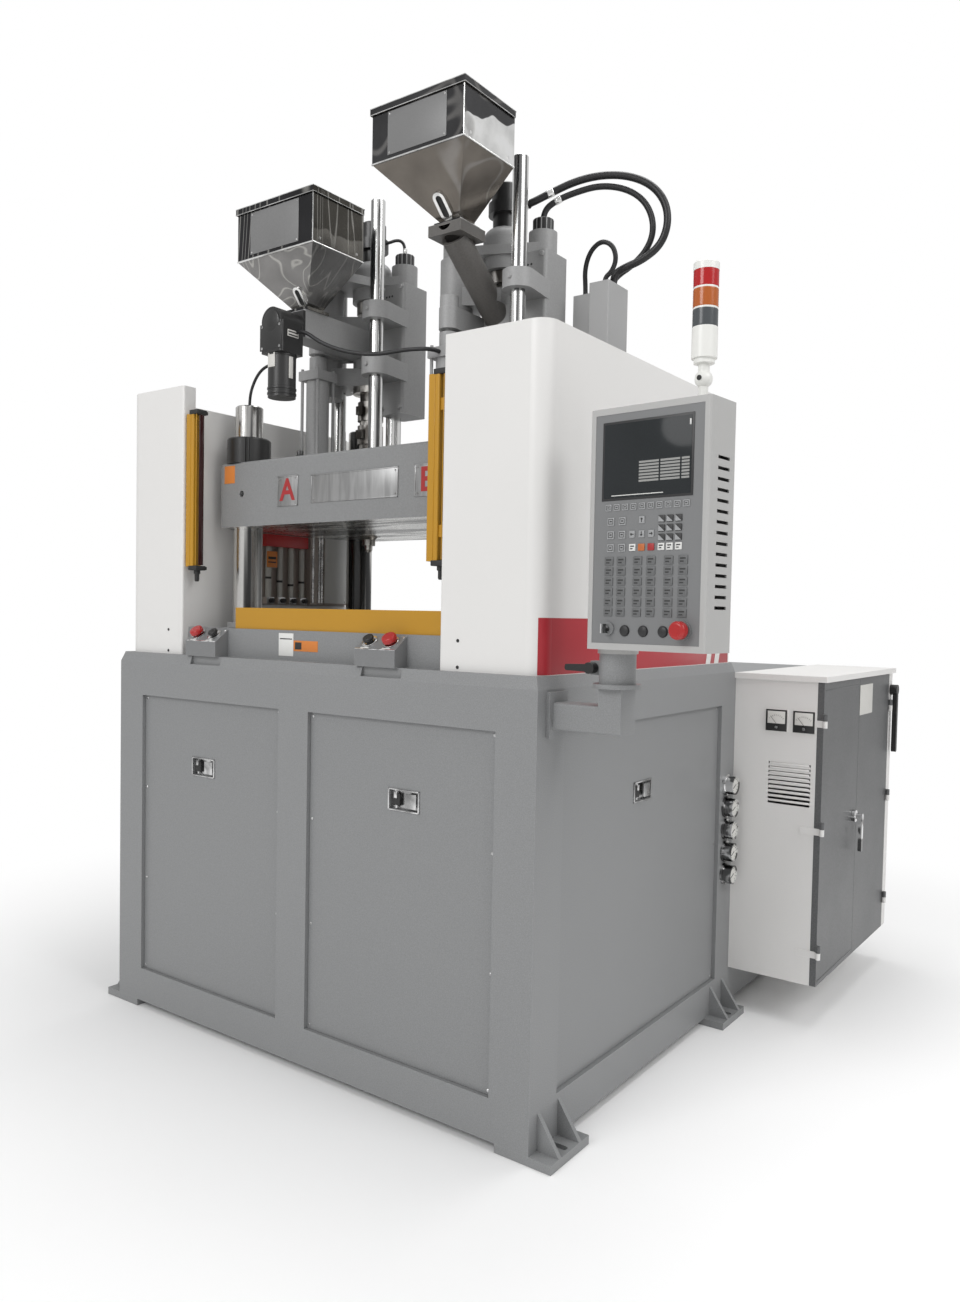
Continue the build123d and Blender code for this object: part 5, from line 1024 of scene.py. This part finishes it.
# Tower light: three ribbed lenses in red, orange and dark grey round the white post, the
# screw of its ball joint and two screws in its foot.
tower_x, tower_y = 0.193, 0.005
lens_radius, rib_radius, rib_count = 0.0262, 0.0267, 8
lens_red = painted("lens_red", (0.42, 0.008, 0.010), 0.18, grain=0.05, cloud=0.2, edge_highlight=0.1, relief=0.0)
lens_orange = painted("lens_orange", (0.43, 0.105, 0.018), 0.2, grain=0.1, cloud=0.35, edge_highlight=0.1, relief=0.0)
lens_grey = painted("lens_grey", (0.070, 0.078, 0.084), 0.25, grain=0.3, cloud=0.3, edge_highlight=0.1, relief=0.0)
tower_parts = []
for low_z, high_z, finish in ((1.968, 2.006, 0), (1.926, 1.966, 1), (1.886, 1.924, 2)):
    rib = (high_z - low_z - 0.002) / rib_count
    profile = [(lens_radius - 0.0003, 0)]
    for number in range(rib_count):
        profile += [(lens_radius, number * rib + 0.0001), (rib_radius, (number + 0.5) * rib)]
    profile += [(lens_radius, rib_count * rib), (lens_radius - 0.0003, rib_count * rib + 0.0002)]
    tower_parts.append(turned(profile, (tower_x, tower_y, low_z + 0.001), up, finish, 48))
joint_screw = ((0.0055, 0), (0.0055, 0.0012), (0.0030, 0.0016), (0.0028, 0.0006), (0, 0.0006))
tower_parts.append(turned(joint_screw, (tower_x, tower_y - 0.0188, 1.780), to_front, 3, 20))
for x in (tower_x - 0.030, tower_x + 0.030):
    foot_screw = ((0.0045, 0), (0.0045, 0.003), (0, 0.004))
    tower_parts.append(turned(foot_screw, (x, tower_y - 0.012, 1.728), up, 3, 16))
tower_finishes = (lens_red, lens_orange, lens_grey, black_and_painted_shade)
build("tower_lenses", tower_parts, tower_finishes, "hmi", panel_place)

# Control cabinet: dial faces with a scale and a needle over a black lower half, louvre
# blades, the folded edges of the front door and a bare white card on the rear door.
cabinet_front = 0.594
dial_half_width, dial_low, dial_high = 0.034, 0.926, 0.994
scale_marks, scale_start, scale_pitch = 9, 40, 12.5
blade_count, blade_foot, blade_pitch = 9, 0.702, 0.0148
dial_white = painted("dial_white", (0.70, 0.69, 0.66), 0.35, grain=0.02, edge_highlight=0.0, relief=0.0)


def dial(middle_x):
    """A meter's face: case, white scale, marks, needle and the screw of its needle."""
    y = cabinet_front
    low_x, high_x = middle_x - dial_half_width, middle_x + dial_half_width
    shapes = [rounded_block((low_x, y - 0.0012, dial_low), (high_x, y, dial_high), 0.0006, 1),
              rounded_block((low_x + 0.006, y - 0.0020, 0.950), (high_x - 0.006, y - 0.0010, 0.989),
                            0.0004, 0)]
    for number in range(scale_marks):
        turn = math.radians(scale_start + scale_pitch * number)
        shapes.append(tube([(middle_x + radius * math.cos(turn), y - 0.0021, 0.948 + radius * math.sin(turn))
                            for radius in (0.026, 0.031)], 0.0005, 1, 6))
    needle = [(middle_x, y - 0.0022, 0.950), (middle_x - 0.018, y - 0.0022, 0.972)]
    hub = ((0, 0.002), (0.004, 0.0018), (0.005, 0.0))
    return shapes + [tube(needle, 0.0006, 1, 6), turned(hub, (middle_x, y - 0.001, 0.938), to_front, 2, 20)]


cabinet_trim = dial(0.939) + dial(1.026)
for number in range(blade_count):
    z = blade_foot + number * blade_pitch
    cabinet_trim.append(rounded_block((0.920, cabinet_front + 0.0035, z),
                                      (1.046, cabinet_front + 0.0060, z + 0.0062), 0.0008, 3))
cabinet_finishes = (dial_white, black_plastic, stainless, cabinet_paint)
build("cabinet_trim", cabinet_trim, cabinet_finishes, "base")
door_x = 1.085
door_folds = [rounded_block((door_x, 0.612, z - 0.002), (door_x + 0.001, 0.986, z + 0.002), 0.0003, 0)
              for z in (0.150, 1.062)]
build("door_folds", door_folds, (door_paint,), "door_front")
build("door_card", [rounded_block((door_x, 0.998, 0.957), (door_x + 0.0008, 1.155, 1.060), 0.0003, 0)],
      (label_white,), "door_rear")

# Pressure gauges: white dials with a printed scale, a needle and a chrome ring.
gauge_x, gauge_y = 0.8302, 0.540
gauge_top, gauge_pitch, gauge_count = 0.746, 0.072, 5
needle_turn = math.radians(205)
ring_profile = ((0.0262, 0.003), (0.0285, 0.0042), (0.0300, 0.003), (0.0302, 0.0))


def on_dial(lift, radius, turn, z):
    """A point over a gauge's dial, by its height over it, radius and turn."""
    return (gauge_x + lift, gauge_y + radius * math.cos(turn), z + radius * math.sin(turn))


gauge_faces = []
for number in range(gauge_count):
    z = gauge_top - number * gauge_pitch
    middle = (gauge_x, gauge_y, z)
    gauge_faces.append(turned(((0, 0.0006), (0.0255, 0.0006), (0.0258, 0.0)), middle, to_right, 0, 36))
    for mark in range(11):
        turn = math.radians(-45 + 27 * mark)
        mark_line = [on_dial(0.0009, radius, turn, z) for radius in (0.0185, 0.0235)]
        gauge_faces.append(tube(mark_line, 0.0006, 1, 6))
    needle = [on_dial(0.0012, radius, needle_turn, z) for radius in (-0.006, 0.019)]
    gauge_faces.append(tube(needle, 0.0009, 1, 6))
    gauge_faces.append(turned(ring_profile, middle, to_right, 2, 40))
build("gauge_faces", gauge_faces, (dial_white, black_and_painted_shade, chrome), "base")

# Injection units: black ribbed caps on the round cylinders, tapped holes in the castings
# shown as dark discs of painted shade, silver ferrules on the hoses, and hexagon bolts on
# the carriage plates and the ram heads.


def ribbed_cap(middle, radius, height, finish):
    """A cap with upright grip ribs round it and a flat top."""
    shape = bmesh.new()
    steps, steps_per_rib, groove = 72, 6, 0.955
    rings = []
    for share, level_m in ((1.0, 0.0), (1.0, height * 0.94), (0.94, height)):
        ring = []
        for step in range(steps):
            turn = 2 * math.pi * step / steps
            reach_m = radius * share * (1.0 if step % steps_per_rib < 4 else groove)
            ring.append(shape.verts.new((middle[0] + reach_m * math.cos(turn),
                                         middle[1] + reach_m * math.sin(turn), middle[2] + level_m)))
        rings.append(ring)
    for lower, upper in zip(rings, rings[1:]):
        for step in range(steps):
            after = (step + 1) % steps
            shape.faces.new((lower[step], lower[after], upper[after], upper[step]))
    shape.faces.new(rings[-1])
    for face in shape.faces:
        face.material_index = finish
    return shape


def hex_bolt(foot, across, finish):
    """A hexagon head with a chamfered top over a washer, on a front face."""
    washer = turned(((across * 0.62, 0), (across * 0.62, 0.0012), (0, 0.0012)), foot, to_front, finish, 24)
    head_profile = ((across * 0.56, 0), (across * 0.56, across * 0.34), (across * 0.46, across * 0.42),
                    (0, across * 0.42))
    return [washer, turned(head_profile, Vector(foot) + Vector(to_front) * 0.0010, to_front, finish, 6)]


cap_foot, cap_radius, cap_height = 2.4135, 0.0312, 0.0385
plate_face, casting_face = -0.035, -0.176
tapped_hole_shade = ((0, 0.0004), (0.0032, 0.0004), (0.0036, 0.0))
for unit, unit_x in (("a", -0.270), ("b", 0.270)):
    caps = [ribbed_cap((unit_x + 0.120, 0.025, cap_foot), cap_radius, cap_height, 0),
            ribbed_cap((unit_x - 0.120, -0.080, cap_foot), cap_radius, cap_height, 0)]
    build(f"cylinder_caps_{unit}", caps, (black_plastic,), f"ram_{unit}")
    fittings = []
    # dark discs painted as the shade inside tapped holes
    for z in (2.306, 2.236):
        for x in (unit_x + 0.096, unit_x + 0.108, unit_x + 0.120):
            fittings.append(turned(tapped_hole_shade, (x, plate_face, z), to_front, 1, 14))
    for x in (unit_x + 0.084, unit_x + 0.158):
        for z in (1.945, 2.330):
            fittings += hex_bolt((x, plate_face, z), 0.014, 0)
    for z in (2.0565, 2.2275):
        fittings += hex_bolt((unit_x + 0.140, casting_face, z), 0.012, 0)
    build(f"carriage_fittings_{unit}", fittings, (cast_paint, black_and_painted_shade), f"carriage_{unit}")


def ferrule(foot, along, radius):
    """A pressed silver sleeve on a hose."""
    profile = ((radius * 0.92, 0), (radius, 0.0015), (radius, 0.0185), (radius * 0.92, 0.020))
    return turned(profile, foot, along, 0, 28)


ferrules = [ferrule((0.399, 0.0293, 2.5257), (126, 66, 64), 0.0122),
            ferrule((0.4208, 0.0379, 2.5023), (90, 39, 48), 0.0102),
            ferrule((0.336, 0.0, 2.498), to_right, 0.0128)]
build("hose_ferrules_b", ferrules, (bright_fold,), "ram_b")
thin_profile = ((0.0062, 0), (0.0068, 0.001), (0.0068, 0.019), (0.0062, 0.020))
thin_ferrule = turned(thin_profile, (-0.150, 0.025, 2.456), up, 0, 24)
build("hose_ferrules_a", [thin_ferrule], (bright_fold,), "ram_a")
